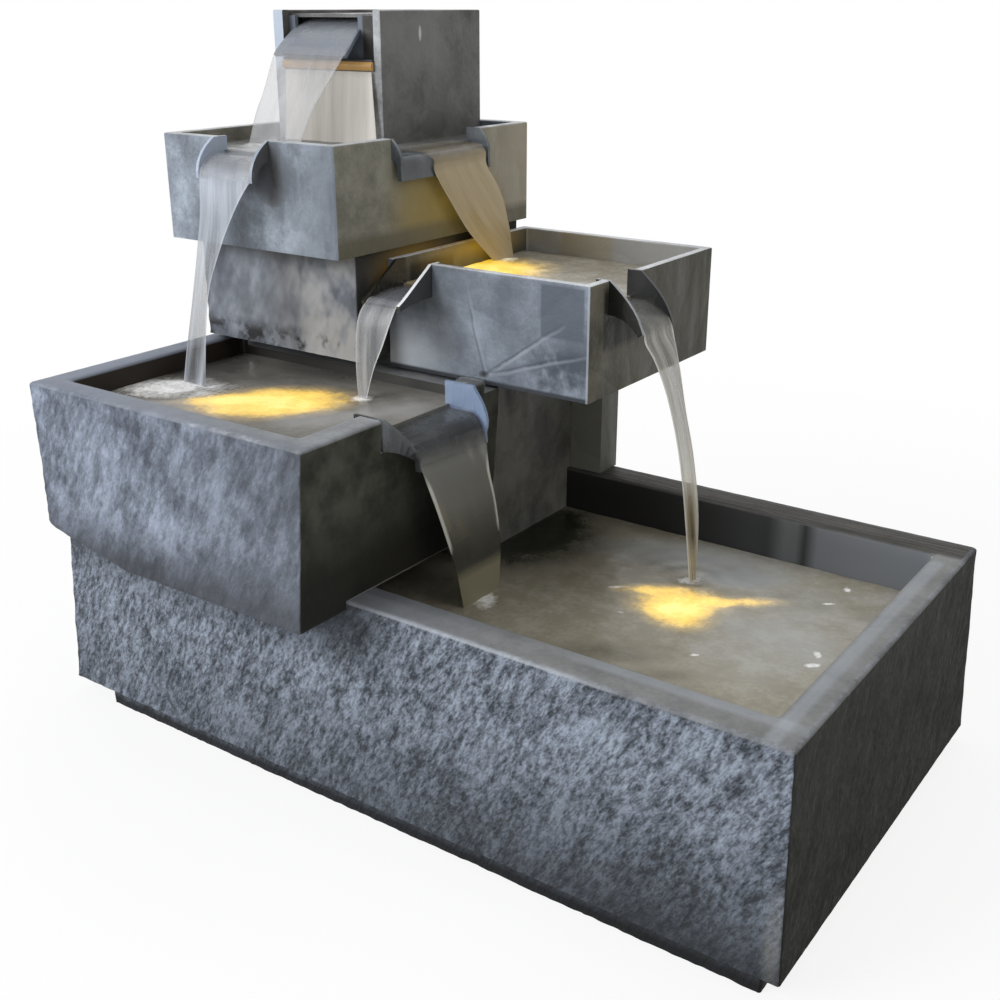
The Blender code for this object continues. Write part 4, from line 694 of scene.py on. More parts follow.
# Painted shade on the right face, which stands against the right bowl's left wall.
stone.stain("body", stone.facing("X") * 0.9, (0.022, 0.021, 0.017))
lamp_lit(stone, (riser_x[1], F + 0.215, 0.402), reach=(0.05, 0.075, 0.030), colour=(0.13, 0.075, 0.006))
riser = stone_casting("riser_casting", riser_rows, stone.join(), depth=0.0026, seed=37)
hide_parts("stone_riser")


# Pump tower and its rear door. Smooth resin castings, as the bowls and the tank above are, stained by running
# water: patches in front and darker runs down them. The warmer, darker tone on the right faces is partly
# their own and partly painted shade.
class CastStone(Finish):
    """Smooth cast stone in soft planes with faint creases picked out in painted highlight. front, right, top
    and left colour the faces that look that way, so they are partly lit and shaded copies of the stone that
    paint light and shade by facing. They may be stained further before join()."""

    def __init__(self, name, light, dark, right, top, left):
        super().__init__(name, 0.62, 0.25)
        self.patches = self.noise(1.0, 5, 0.62, stretch=(0.050, 0.050, 0.050))
        self.runs = self.noise(1.0, 4, 0.55, stretch=(0.020, 0.020, 0.110))
        self.grain = self.noise(1.0, 3, 0.6, stretch=(0.0022, 0.0022, 0.0022))
        drift = self.node("ShaderNodeTexNoise", {}, {"Vector": self.place, "Scale": 14.0}, "Color")
        drift = self.node("ShaderNodeVectorMath", {"operation": "SCALE"}, {0: drift, "Scale": 0.03})
        bent = self.node("ShaderNodeVectorMath", {}, {0: self.place, 1: drift})
        cells = {"Vector": bent, "Scale": 20.0}
        planes = self.node("ShaderNodeTexVoronoi", {}, cells, "Color")
        to_edge = {"feature": "DISTANCE_TO_EDGE"}
        self.edge = self.node("ShaderNodeTexVoronoi", to_edge, cells, "Distance")
        shade = self.patches * 0.68 + self.runs * 0.12 + self.grain * 0.13 + planes * 0.05 + 0.01
        self.front = self.ramp(
            shade,
            (0.39, dark),
            (0.49, tuple(0.45 * a + 0.55 * b for a, b in zip(light, dark))),
            (0.57, light),
            (0.66, toned(light, 1.3)),
        )
        # Painted highlight: a pale line along the folds between the planes.
        crease = self.span(self.edge, 0.0, 0.035, 1.0, 0.0) * self.span(self.patches, 0.50, 0.62)
        self.stain("front", crease * 0.18, toned(light, 1.3))
        dim_right, bright_right = toned(right, 0.55), toned(right, 1.25)
        self.right = self.ramp(shade, (0.40, dim_right), (0.58, bright_right))
        self.top = self.mix(self.span(self.patches, 0.35, 0.60), toned(top, 0.6), top)
        self.left = self.ramp(shade, (0.40, toned(left, 0.6)), (0.58, left))

    def join(self):
        """The four colours, each on the faces that look its way, with gloss by the runs and soft relief."""
        body = self.mix(self.facing("X"), self.front, self.right)
        body = self.mix(self.facing("X", -1.0), body, self.left)
        level = self.facing("Z")
        self.put("Base Color", self.mix(level, body, self.top))
        self.put("Roughness", self.span(self.runs, 0.35, 0.65, 0.40, 0.77) - level * 0.25)
        folds = self.span(self.edge, 0.0, 0.12)
        self.bump(self.grain * 0.12 + self.patches * 0.9 + self.runs * 0.2 + folds * 0.15, 0.0022)
        return self.material


def dress(material, *names):
    """Gives CAD nodes a finish."""
    for name in names:
        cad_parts[name].material_slots[0].material = material


stone = CastStone(
    "tower_stone",
    light=(0.170, 0.178, 0.180),
    dark=(0.060, 0.064, 0.064),
    right=(0.150, 0.150, 0.140),
    top=(0.10, 0.10, 0.10),
    left=(0.09, 0.09, 0.09),
)
stone.stain("right", stone.span(stone.x, -0.004, -0.002), (0.110, 0.110, 0.095))
pilaster = stone.span(stone.x, -0.036, -0.033) * stone.facing("Y", -1.0)
stone.stain("front", pilaster, (0.260, 0.265, 0.238))
dress(stone.join(), "pump_tower", "access_door")


# Right bowl. A thin-walled smooth casting on the tower, with a notch for a spout in its front and in its
# right face. Its front shows creases in painted shade and highlight and a pit in painted shade, and the lamp
# in it lights its walls by the upper bowl's fall.
right_front, right_side, right_sill = F + 0.177, 0.090, 0.386


def crease(finish, share, x, z, lean, reach):
    """Paints a crease across a front face, through (x, z) and leaning by an angle: a dark line of painted
    shade with a painted highlight along its lower side.
    """
    off = (finish.x - x) * math.sin(lean) - (finish.z - z) * math.cos(lean)
    wavering = off + (finish.patches - 0.5) * 0.008
    close = finish.near((x, right_front, z), (reach, 0.03, reach)) ** 0.5
    painted_crease_shade = finish.span(abs(wavering), 0.0, 0.0016, share, 0.0) * close
    finish.stain("front", painted_crease_shade, (0.065, 0.075, 0.095))
    painted_crease_highlight = finish.span(abs(wavering - 0.0025), 0.0, 0.002, share, 0.0) * close
    finish.stain("front", painted_crease_highlight, (0.36, 0.40, 0.46))


# The pale top paints the wet highlight along the thin rims; the right and left colours are partly painted
# shade and light.
stone = CastStone(
    "right_bowl_stone",
    light=(0.245, 0.282, 0.335),
    dark=(0.130, 0.148, 0.180),
    right=(0.122, 0.116, 0.088),
    top=(0.58, 0.60, 0.63),
    left=(0.26, 0.255, 0.235),
)
ahead = stone.facing("Y", -1.0)
dark_panel = stone.within("x", 0.046, 0.084, 0.002) * stone.within("z", 0.3665, 0.406, 0.002) * ahead
stone.stain("front", dark_panel * 0.9, (0.100, 0.118, 0.148))
shaded_left = stone.within("x", -0.062, -0.040, 0.014) * stone.span(stone.z, 0.350, 0.375)
stone.stain("front", shaded_left * 0.35, (0.085, 0.098, 0.105))
mottled = stone.within("x", 0.045, 0.086, 0.014) * stone.span(stone.z, 0.362, 0.352) * ahead
stone.stain("front", mottled * stone.span(stone.patches, 0.56, 0.46) * 0.8, (0.060, 0.072, 0.090))
crease(stone, 0.7, 0.020, 0.346, lean=math.radians(35), reach=0.058)
crease(stone, 0.6, 0.034, 0.340, lean=math.radians(18), reach=0.062)
crease(stone, 0.5, -0.017, 0.351, lean=math.radians(105), reach=0.044)
# Painted shade in a small pit low on the front.
painted_pit_shade = stone.near((-0.0103, right_front, 0.3255), (0.0055, 0.02, 0.0035)) ** 0.5
stone.stain("front", painted_pit_shade * 0.9, (0.020, 0.022, 0.026))
pale_low = stone.span(stone.x, -0.03, -0.09) * stone.span(stone.z, 0.365, 0.335) * ahead
stone.stain("front", pale_low * 0.85, (0.54, 0.585, 0.65))
# Painted shade along the foot, where the bowl sits on the tower.
painted_foot_shade = stone.span(stone.z, 0.3215, 0.3195)
stone.stain("front", painted_foot_shade, (0.045, 0.05, 0.06))
# Painted highlight down the front right corner.
painted_corner_highlight = stone.span(stone.x, 0.0875, 0.0885)
stone.stain("front", painted_corner_highlight * 0.6, (0.45, 0.49, 0.55))
# Painted light: the inner back wall is made paler, and warm olive in part as a painted reflection.
painted_light_on_inner_back = stone.span(stone.y, F + 0.36, F + 0.37) * ahead
stone.stain("front", painted_light_on_inner_back, (0.315, 0.315, 0.310))
painted_warm_reflection = painted_light_on_inner_back * stone.within("x", -0.060, -0.012, 0.010)
stone.stain("front", painted_warm_reflection * 0.7, (0.30, 0.265, 0.185))
# Painted shade: a near-black patch on the right face under the side spout.
painted_shade_below_spout = stone.within("y", F + 0.200, F + 0.258, 0.004) * stone.within("z", 0.358, 0.400, 0.006)
stone.stain("right", painted_shade_below_spout * 0.9, (0.012, 0.012, 0.010))
behind_spout = stone.span(stone.y, F + 0.24, F + 0.28)
stone.stain("right", behind_spout * 0.75, (0.056, 0.055, 0.045))
lamp_lit(stone, (-0.100, F + 0.290, 0.404), reach=(0.04, 0.10, 0.022), colour=(0.26, 0.145, 0.010))
dress(stone.join(), "right_bowl")


# Upper bowl. A thin-walled smooth casting on the riser, with a notch for a spout in its front and in its
# right face. Painted shadow lies beside and under its front spout, and the lamp in the right bowl lights its
# right face.
upper_front, upper_side, upper_sill = F + 0.113, -0.107, 0.493
# The pale top paints the wet highlight along the rims; the right colour is partly painted shade.
stone = CastStone(
    "upper_bowl_stone",
    light=(0.345, 0.395, 0.460),
    dark=(0.125, 0.142, 0.170),
    right=(0.222, 0.218, 0.180),
    top=(0.44, 0.46, 0.48),
    left=(0.30, 0.31, 0.31),
)
darker_right_end = stone.span(stone.x, -0.185, -0.125, 0.0, 0.75)
stone.stain("front", darker_right_end, (0.160, 0.182, 0.215))
# Painted lamp light: the amber lamp in the right bowl colours the far half and a patch of the right face warm
# and gold.
painted_warm_light_far_half = stone.span(stone.y, F + 0.26, F + 0.36)
stone.stain("right", painted_warm_light_far_half * 0.85, (0.36, 0.330, 0.262))
painted_amber_light = stone.within("y", F + 0.205, F + 0.300, 0.035) * stone.within("z", 0.434, 0.470, 0.008)
stone.stain("right", painted_amber_light * 0.85, (0.25, 0.205, 0.090))
dim_foot = stone.span(stone.z, 0.437, 0.429, 0.0, 0.85)
stone.stain("right", dim_foot, (0.115, 0.106, 0.074))
# Painted shadow on the front, in patches beside and below the front spout.
painted_shadow_by_spout = stone.near((-0.177, upper_front, 0.480), (0.023, 0.03, 0.026)) ** 0.5
painted_shadow_by_spout = painted_shadow_by_spout + stone.within("x", -0.178, -0.170, 0.006) * stone.span(stone.z, 0.440, 0.456) * 0.4
stone.stain("front", painted_shadow_by_spout * stone.span(stone.patches, 0.30, 0.50, 0.55, 1.0), (0.048, 0.046, 0.045))
drips = stone.span(stone.runs, 0.50, 0.60) * stone.span(stone.patches, 0.58, 0.46)
stone.stain("front", drips * 0.55, (0.105, 0.118, 0.138))
# Painted shade on the front under the lip of the front spout.
painted_shade_under_spout = stone.within("x", -0.240, -0.180, 0.006) * stone.within("z", 0.468, 0.482, 0.006)
stone.stain("front", painted_shade_under_spout * 0.6, (0.090, 0.098, 0.115))
lamp_lit(stone, (upper_side, F + 0.255, 0.450), reach=(0.03, 0.095, 0.05), colour=(0.070, 0.046, 0.005))
dress(stone.join(), "upper_bowl")


# Top tank. A tall smooth casting whose front is cut away for the spillway. It is paler and drier than the
# bowls, with damp at its foot and light on the jamb left of the opening.
stone = CastStone(
    "tank_stone",
    light=(0.40, 0.41, 0.425),
    dark=(0.16, 0.162, 0.165),
    right=(0.172, 0.176, 0.173),
    top=(0.38, 0.38, 0.37),
    left=(0.34, 0.36, 0.39),
)
stone.stain("right", stone.span(stone.patches, 0.42, 0.56) * 0.4, (0.120, 0.123, 0.120))
damp_foot = stone.span(stone.z, 0.560, 0.510) * stone.within("y", F + 0.270, F + 0.345, 0.02)
stone.stain("right", damp_foot * stone.span(stone.patches, 0.46, 0.56) * 0.65, (0.060, 0.059, 0.056))
drip_mark = stone.near((-0.155, F + 0.2834, 0.586), (0.01, 0.0022, 0.007)) ** 0.5
stone.stain("right", drip_mark * 0.8, (0.75, 0.75, 0.72))
left_jamb = stone.span(stone.x, -0.2665, -0.2685) * stone.span(stone.z, 0.553, 0.560)
left_jamb = left_jamb * stone.span(stone.y, F + 0.262, F + 0.254)
stone.stain("front", left_jamb * 0.8, (0.50, 0.57, 0.68))
# Its right-facing side, facing into the opening, is darkened as painted shade.
stone.stain("right", left_jamb * 0.8, (0.050, 0.047, 0.043))
dress(stone.join(), "top_tank")


# Spouts. Six wet cast chutes let into the notches of the bowls and the tank, each with its own run of dark
# channel, pale curb and streaks, the pale curbs and streaks being in part painted highlight and sheen.
class WetStone(Finish):
    """Wet cast stone: dark where the water film lies, with pale runs, and glossy all over. body is its
    colour, and may be stained further before join()."""

    def __init__(self, name, dry, wet):
        super().__init__(name, 0.2, 0.4)
        runs = self.noise(1.0, 4, 0.55, stretch=(0.020, 0.020, 0.060))
        patches = self.noise(1.0, 4, 0.6, stretch=(0.045, 0.045, 0.045))
        self.body = self.ramp(runs * 0.4 + patches * 0.6, (0.36, wet), (0.62, dry))
        self.put("Roughness", self.span(runs, 0.3, 0.7, 0.14, 0.36))
        self.bump(patches, 0.0012)

    def join(self):
        """The stained colour, put on the shader."""
        self.put("Base Color", self.body)
        return self.material


chute = WetStone("lower_chute_stone", dry=(0.075, 0.081, 0.086), wet=(0.034, 0.036, 0.036))
near_curb = chute.span(chute.y, F + 0.0400, F + 0.0375)
chute.stain("body", near_curb, (0.040, 0.042, 0.041))
# Painted sheen: a soft pale streak down the near curb.
painted_wet_sheen = near_curb * chute.span(chute.z, 0.300, 0.312) * chute.span(chute.x, -0.012, -0.004)
chute.stain("body", painted_wet_sheen * 0.6, (0.17, 0.19, 0.21))
# Painted highlight: the far curb is coloured light blue.
past_far_curb = chute.y + chute.span(chute.x, 0.0, 0.0155) * 0.005
chute.stain("body", chute.span(past_far_curb, F + 0.1450, F + 0.1465), (0.230, 0.300, 0.440))
dress(chute.join(), "lower_side_spout")

chute = WetStone("right_side_chute_stone", dry=(0.105, 0.108, 0.112), wet=(0.034, 0.035, 0.036))
near_curb = chute.span(chute.y, F + 0.2105, F + 0.2085)
chute.stain("body", near_curb, (0.30, 0.32, 0.345))
chute.stain("body", near_curb * chute.facing("Y", -1.0), (0.014, 0.014, 0.012))
far_curb = chute.span(chute.y, F + 0.2525, F + 0.2540)
chute.stain("body", far_curb, (0.030, 0.030, 0.031))
dress(chute.join(), "right_side_spout")

chute = WetStone("right_front_chute_stone", dry=(0.085, 0.095, 0.120), wet=(0.034, 0.038, 0.048))
left_curb = chute.span(chute.x, -0.0985, -0.0997)
chute.stain("body", left_curb, (0.020, 0.019, 0.015))
right_curb = chute.span(chute.x, -0.0675, -0.0668)
chute.stain("body", right_curb, (0.050, 0.053, 0.056))
# Painted highlight: the top of the right curb is near white.
chute.stain("body", right_curb * chute.facing("Z"), (0.75, 0.77, 0.80))
dress(chute.join(), "right_front_spout")

chute = WetStone("upper_side_chute_stone", dry=(0.105, 0.120, 0.135), wet=(0.050, 0.058, 0.066))
# Painted highlight along the top of the chute's edges.
painted_top_highlight = chute.span(chute.z, 0.492, 0.503)
chute.stain("body", painted_top_highlight * 0.5, (0.20, 0.22, 0.235))
dress(chute.join(), "upper_side_spout")

chute = WetStone("upper_front_chute_stone", dry=(0.235, 0.240, 0.250), wet=(0.085, 0.084, 0.083))
warm_right = chute.span(chute.x, -0.200, -0.190)
chute.stain("body", warm_right * 0.7, (0.33, 0.30, 0.25))
left_bank = chute.span(chute.x, -0.2330, -0.2385)
chute.stain("body", left_bank, (0.060, 0.056, 0.052))
# Painted wet highlight: the left and right curbs are pale blue.
left_curb = chute.span(chute.x, -0.2393, -0.2400)
chute.stain("body", left_curb, (0.36, 0.42, 0.52))
right_curb = chute.span(chute.x, -0.1822, -0.1812)
chute.stain("body", right_curb, (0.27, 0.31, 0.37))
chute.stain("body", right_curb * chute.facing("X"), (0.085, 0.088, 0.095))
dress(chute.join(), "upper_front_spout")

chute = WetStone("spillway_stone", dry=(0.160, 0.185, 0.228), wet=(0.130, 0.150, 0.186))
along_arc = chute.span(chute.y, F + 0.285, F + 0.2102)
past_edge = chute.x + 0.178 + (1.0 - along_arc) ** 1.5 * 0.025
chute.stain("body", chute.span(past_edge, 0.0005, 0.003), (0.038, 0.036, 0.034))
dress(chute.join(), "top_spillway")


# Fittings. The pump, hose, grommet, gland, lamp housings, clamps, screws and drain plug are bought-in parts
# of moulded black plastic, black rubber or brushed steel.
def moulded_finish(name, colour, roughness, grain_scale, grain_depth):
    """Moulded black plastic or rubber: a fine grain, a little uneven in tone and gloss."""
    finish = Finish(name, roughness)
    grain = finish.noise(grain_scale, 3, 0.6)
    wear = finish.noise(35, 3)
    worn = toned(colour, 1.8, 0.004)
    finish.put("Base Color", finish.ramp(wear, (0.35, colour), (0.7, worn)))
    finish.put("Roughness", finish.span(wear, 0.3, 0.7, roughness - 0.08, roughness + 0.1))
    finish.bump(grain, grain_depth)
    return finish.material


def each(name, count):
    """Names of like nodes, numbered from 1."""
    return [f"{name}_{number}" for number in range(1, count + 1)]


pump_parts = ["pump_motor", "pump_volute", "pump_impeller", "impeller_cover", "intake_strainer", "flow_dial"]
pipe_parts = ["tank_bulkhead", "bulkhead_nut", "cable_gland", "gland_nut"]
lamp_parts = [f"{lamp}_housing" for lamp in ("light_bar", "base_lamp", "lower_lamp", "right_lamp")]
lamp_parts += ["lower_lamp_nut", "right_lamp_nut"]
plastic = moulded_finish("pump_plastic", (0.018, 0.018, 0.02), 0.45, grain_scale=900, grain_depth=0.0002)
dress(plastic, *pump_parts, *pipe_parts, *lamp_parts)

rubber_parts = ["riser_hose", "riser_grommet", "pump_lead", "drain_plug", "drain_seal"]
rubber = moulded_finish("fitting_rubber", (0.012, 0.012, 0.012), 0.75, grain_scale=600, grain_depth=0.0003)
dress(rubber, *each("suction_foot", 4), *rubber_parts)

steel = Finish("fitting_steel", 0.3)
brushing = steel.noise(900, 2, 0.5, stretch=(1, 1, 0.1))
steel.put("Metallic", 1.0)
steel.put("Base Color", steel.ramp(brushing, (0.3, (0.38, 0.38, 0.37)), (0.7, (0.62, 0.62, 0.61))))
steel.put("Roughness", steel.span(brushing, 0.3, 0.7, 0.22, 0.42))
dress(steel.material, "hose_clamp_lower", "hose_clamp_upper", *each("door_screw", 4))


# Lamp lenses. Amber plastic let into each housing and lit from inside, the three under water brightly and the
# light bar's dimly.
def lens_finish(name, colour, strength):
    """Lit amber plastic with faint streaks, a quarter dimmer between them."""
    finish = Finish(name, 0.3, 0.2)
    streaks = finish.noise(160, 3, 0.5)
    finish.put("Base Color", toned(colour, 0.6))
    dimmer = toned(colour, 0.75)
    finish.glow(finish.ramp(streaks, (0.3, dimmer), (0.65, colour)), strength)
    return finish.material


lamp_amber = lens_finish("lamp_lens_amber", (1.0, 0.62, 0.10), strength=3.0)
dress(lamp_amber, "base_lamp_lens", "lower_lamp_lens", "right_lamp_lens")
dress(lens_finish("bar_lens_amber", (0.42, 0.25, 0.09), strength=0.42), "light_bar_lens")


# Standing water. Each pool is a thin sheet at its water line, rippled round the places where streams land.
# The water is murky, with milky swirls, froth round the landings and the lamps' amber light in it.
def water_finish(name, dark, mid, pale, milk_colour):
    """Murk in three tones under milk, froth and glow, which the pool's own attributes place."""
    finish = Finish(name, 0.24, 0.3)
    froth, glow, haze, shade = (
        finish.node("ShaderNodeAttribute", {"attribute_name": label}, output="Fac")
        for label in ("froth", "glow", "haze", "shade")
    )
    swirl = finish.noise(1.0, 5, 0.62, stretch=(0.06, 0.06, 0.06))
    flow = finish.noise(1.0, 4, 0.6, stretch=(0.022, 0.022, 0.05))
    speckle = finish.noise(1.0, 3, 0.6, stretch=(0.0038, 0.0038, 0.0038))
    tone = swirl * 0.55 + flow * 0.35 + speckle * 0.10
    murk = finish.ramp(tone, (0.36, mid), (0.52, toned(mid, 1.15)), (0.68, pale))
    mottle = finish.span(speckle * 0.45 + flow * 0.55, 0.47, 0.60)
    murk = finish.mix(mottle * 0.30, murk, toned(pale, 1.25))
    shadow = finish.span(shade + (speckle - 0.5) * 0.6 + (flow - 0.5) * 0.5, 0.15, 0.85)
    murk = finish.mix(shadow, murk, dark)
    milk = finish.span(haze + (swirl - 0.5) * 0.9, 0.10, 1.0)
    murk = finish.mix(milk * 0.9, murk, milk_colour)
    foam = finish.ramp(speckle, (0.34, (0.62, 0.615, 0.605)), (0.60, (0.82, 0.82, 0.81)))
    cover = finish.span(froth + (speckle - 0.5) * 0.5, 0.22, 0.62)
    finish.put("Base Color", finish.mix(cover, murk, foam))
    finish.put("Roughness", finish.span(cover, 0.0, 1.0, 0.24, 0.7))
    finish.put("Alpha", finish.span(cover + glow + milk, 0.0, 0.6, 0.90, 1.0))
    heart = glow + ((flow - 0.5) * 0.50 + (speckle - 0.5) * 0.28) * finish.span(glow, 0.0, 0.35)
    amber = finish.ramp(
        heart,
        (0.04, (0.0, 0.0, 0.0)),
        (0.30, (0.15, 0.095, 0.010)),
        (0.55, (0.72, 0.44, 0.012)),
        (0.80, (0.93, 0.62, 0.04)),
        (1.0, (1.0, 0.76, 0.15)),
    )
    finish.glow(amber)
    finish.bump(finish.noise(1.0, 3, 0.5, stretch=(0.013, 0.013, 0.013)), 0.0004)
    return finish.material


def pool(
    name,
    x,
    y,
    level,
    material,
    seed,
    landings=(),
    glows=(),
    hazes=(),
    shades=(),
    step=0.0025,
    thickness=0.003,
):
    """A rippled slab of water. landings are (x, y, ripple height, froth radii along x and y). glows, hazes
    and shades are ellipses: (x, y, two radii, turn in degrees, strength).

    Height is the sum over landings of a fading cosine ring, plus two sizes of smooth noise."""
    counts = [max(4, round((limits[1] - limits[0]) / step)) + 1 for limits in (x, y)]
    grid_x, grid_y = np.meshgrid(np.linspace(*x, counts[0]), np.linspace(*y, counts[1]), indexing="ij")
    height = 0.0006 * (lattice_noise(grid_x / 0.02, grid_y / 0.02, seed) - 0.5)
    height += 0.0002 * (lattice_noise(grid_x / 0.007, grid_y / 0.007, seed + 1) - 0.5)
    tatter = lattice_noise(grid_x / 0.011, grid_y / 0.011, seed + 2)

    def ellipse(at_x, at_y, reach_x, reach_y, turn):
        """Distance from a middle, 1 on the ellipse that the two radii and the turn give."""
        c, s = math.cos(math.radians(turn)), math.sin(math.radians(turn))
        away_x, away_y = grid_x - at_x, grid_y - at_y
        return np.hypot((away_x * c + away_y * s) / reach_x, (away_y * c - away_x * s) / reach_y)

    froth = np.zeros_like(grid_x)
    for at_x, at_y, lift, reach_x, reach_y in landings:
        away = np.hypot(grid_x - at_x, grid_y - at_y)
        height += lift * np.cos(away / 0.0032) * np.exp(-away / 0.028)
        spread = ellipse(at_x, at_y, reach_x, reach_y, 35)
        froth = np.maximum(froth, np.exp(-(spread**2)) * (0.5 + 0.7 * tatter))
    fields = {"froth": froth}
    for label, spots in (("glow", glows), ("haze", hazes), ("shade", shades)):
        field = np.zeros_like(grid_x)
        for at_x, at_y, reach_x, reach_y, turn, power in spots:
            away = ellipse(at_x, at_y, reach_x, reach_y, turn)
            field += power * np.clip(1.0 - away**2, 0, 1) ** 1.5 * (0.85 + 0.25 * tatter)
        fields[label] = field
    top = np.stack([grid_x, grid_y, level + height], -1).reshape(-1, 3)
    bottom = np.stack([grid_x, grid_y, np.full_like(grid_x, level - thickness)], -1).reshape(-1, 3)
    index = np.arange(top.shape[0]).reshape(counts)
    quads = np.stack([index[:-1, :-1], index[1:, :-1], index[1:, 1:], index[:-1, 1:]], -1)
    upper = quads.reshape(-1, 4)
    lower = upper[:, ::-1] + len(top)
    border = np.concatenate([index[:-1, 0], index[-1, :-1], index[:0:-1, -1], index[0, :0:-1]])
    ahead = np.roll(border, -1)
    sides = np.stack([border + len(top), ahead + len(top), ahead, border], -1)
    faces = np.concatenate([upper, lower, sides]).tolist()
    made = piece_of(name, np.concatenate([top, bottom]), faces, material, sharp=50)
    carry(made, **{label: np.tile(field.reshape(-1), 2) for label, field in fields.items()})


trough_murk = water_finish(
    "trough_water",
    dark=(0.022, 0.026, 0.016),
    mid=(0.265, 0.243, 0.188),
    pale=(0.375, 0.358, 0.305),
    milk_colour=(0.325, 0.340, 0.350),
)
# Flecks of foam: x, distance from the front, and two radii.
flecks = [
    (0.263, 0.324, 0.0022, 0.0050),
    (0.260, 0.289, 0.0050, 0.0018),
    (0.287, 0.200, 0.0022, 0.0055),
    (0.290, 0.182, 0.0060, 0.0030),
    (0.210, 0.146, 0.0030, 0.0018),
    (0.127, 0.176, 0.0030, 0.0022),
    (0.100, 0.217, 0.0070, 0.0020),
]
pool(
    "trough_water",
    x=(-0.2950, 0.3237),
    y=(F + 0.0343, F + 0.3487),
    level=0.1465,
    material=trough_murk,
    seed=101,
    landings=[(0.144, F + 0.266, 0.0007, 0.010, 0.007), (0.020, F + 0.133, 0.0006, 0.010, 0.020)]
    + [(x, F + y, 0.0, reach_x, reach_y) for x, y, reach_x, reach_y in flecks],
    glows=[
        (0.172, F + 0.196, 0.036, 0.032, 20, 0.62),
        (0.158, F + 0.220, 0.052, 0.034, 35, 0.70),
        (0.162, F + 0.222, 0.090, 0.050, 33, 0.14),
        (0.124, F + 0.230, 0.044, 0.013, 35, 0.40),
        (0.202, F + 0.252, 0.050, 0.013, 34, 0.44),
    ],
    hazes=[
        (0.130, F + 0.310, 0.120, 0.055, 15, 0.95),
        (0.175, F + 0.285, 0.050, 0.026, 35, 0.75),
        (0.255, F + 0.230, 0.100, 0.150, 0, 0.60),
    ],
    shades=[
        (-0.050, F + 0.270, 0.120, 0.130, 0, 1.3),
        (0.205, F + 0.104, 0.060, 0.016, 30, 0.32),
        (0.150, F + 0.110, 0.070, 0.026, 25, 0.42),
        (0.080, F + 0.050, 0.120, 0.022, 0, 0.3),
    ],
)
bowl_murk = water_finish(
    "lower_bowl_water",
    dark=(0.100, 0.096, 0.090),
    mid=(0.205, 0.195, 0.176),
    pale=(0.270, 0.260, 0.240),
    milk_colour=(0.36, 0.36, 0.355),
)
pool(
    "lower_bowl_water",
    x=(-0.2787, -0.0243),
    y=(F - 0.0277, F + 0.1647),
    level=0.3055,
    material=bowl_murk,
    seed=131,
    landings=[(-0.243, F + 0.046, 0.0008, 0.046, 0.026), (-0.091, F + 0.117, 0.0006, 0.009, 0.009)],
    glows=[(-0.143, F + 0.066, 0.084, 0.056, 44, 1.05), (-0.185, F + 0.045, 0.056, 0.018, 42, 0.45)],
    hazes=[(-0.085, F + 0.055, 0.055, 0.035, 40, 0.8), (-0.05, F + 0.10, 0.04, 0.05, 0, 0.6)],
    shades=[(-0.27, F + 0.11, 0.06, 0.07, 0, 1.1), (-0.16, F + 0.16, 0.12, 0.03, 0, 0.7)],
)
right_murk = water_finish(
    "right_bowl_water",
    dark=(0.080, 0.072, 0.055),
    mid=(0.24, 0.22, 0.17),
    pale=(0.40, 0.38, 0.33),
    milk_colour=(0.62, 0.59, 0.53),
)
pool(
    "right_bowl_water",
    x=(-0.1029, 0.0817),
    y=(F + 0.1853, F + 0.3747),
    level=0.3885,
    material=right_murk,
    seed=151,
    landings=[(-0.092, F + 0.328, 0.0006, 0.010, 0.012)],
    glows=[(-0.085, F + 0.285, 0.080, 0.062, 20, 0.85), (-0.055, F + 0.235, 0.090, 0.075, 0, 0.35)],
    hazes=[(0.040, F + 0.200, 0.090, 0.030, 0, 1.2), (0.02, F + 0.24, 0.07, 0.06, 0, 0.5)],
)
upper_murk = water_finish(
    "upper_bowl_water",
    dark=(0.055, 0.055, 0.055),
    mid=(0.120, 0.120, 0.118),
    pale=(0.22, 0.22, 0.22),
    milk_colour=(0.42, 0.44, 0.46),
)
pool(
    "upper_bowl_water",
    x=(-0.2937, -0.1173),
    y=(F + 0.1233, F + 0.3727),
    level=0.4955,
    material=upper_murk,
    seed=171,
    landings=[(-0.24, F + 0.180, 0.0012, 0.022, 0.014)],
    hazes=[(-0.2, F + 0.15, 0.08, 0.05, 0, 0.8)],
)
pool(
    "tank_water",
    x=(-0.2717, -0.1633),
    y=(F + 0.2424, F + 0.3645),
    level=0.6020,
    material=upper_murk,
    seed=191,
)


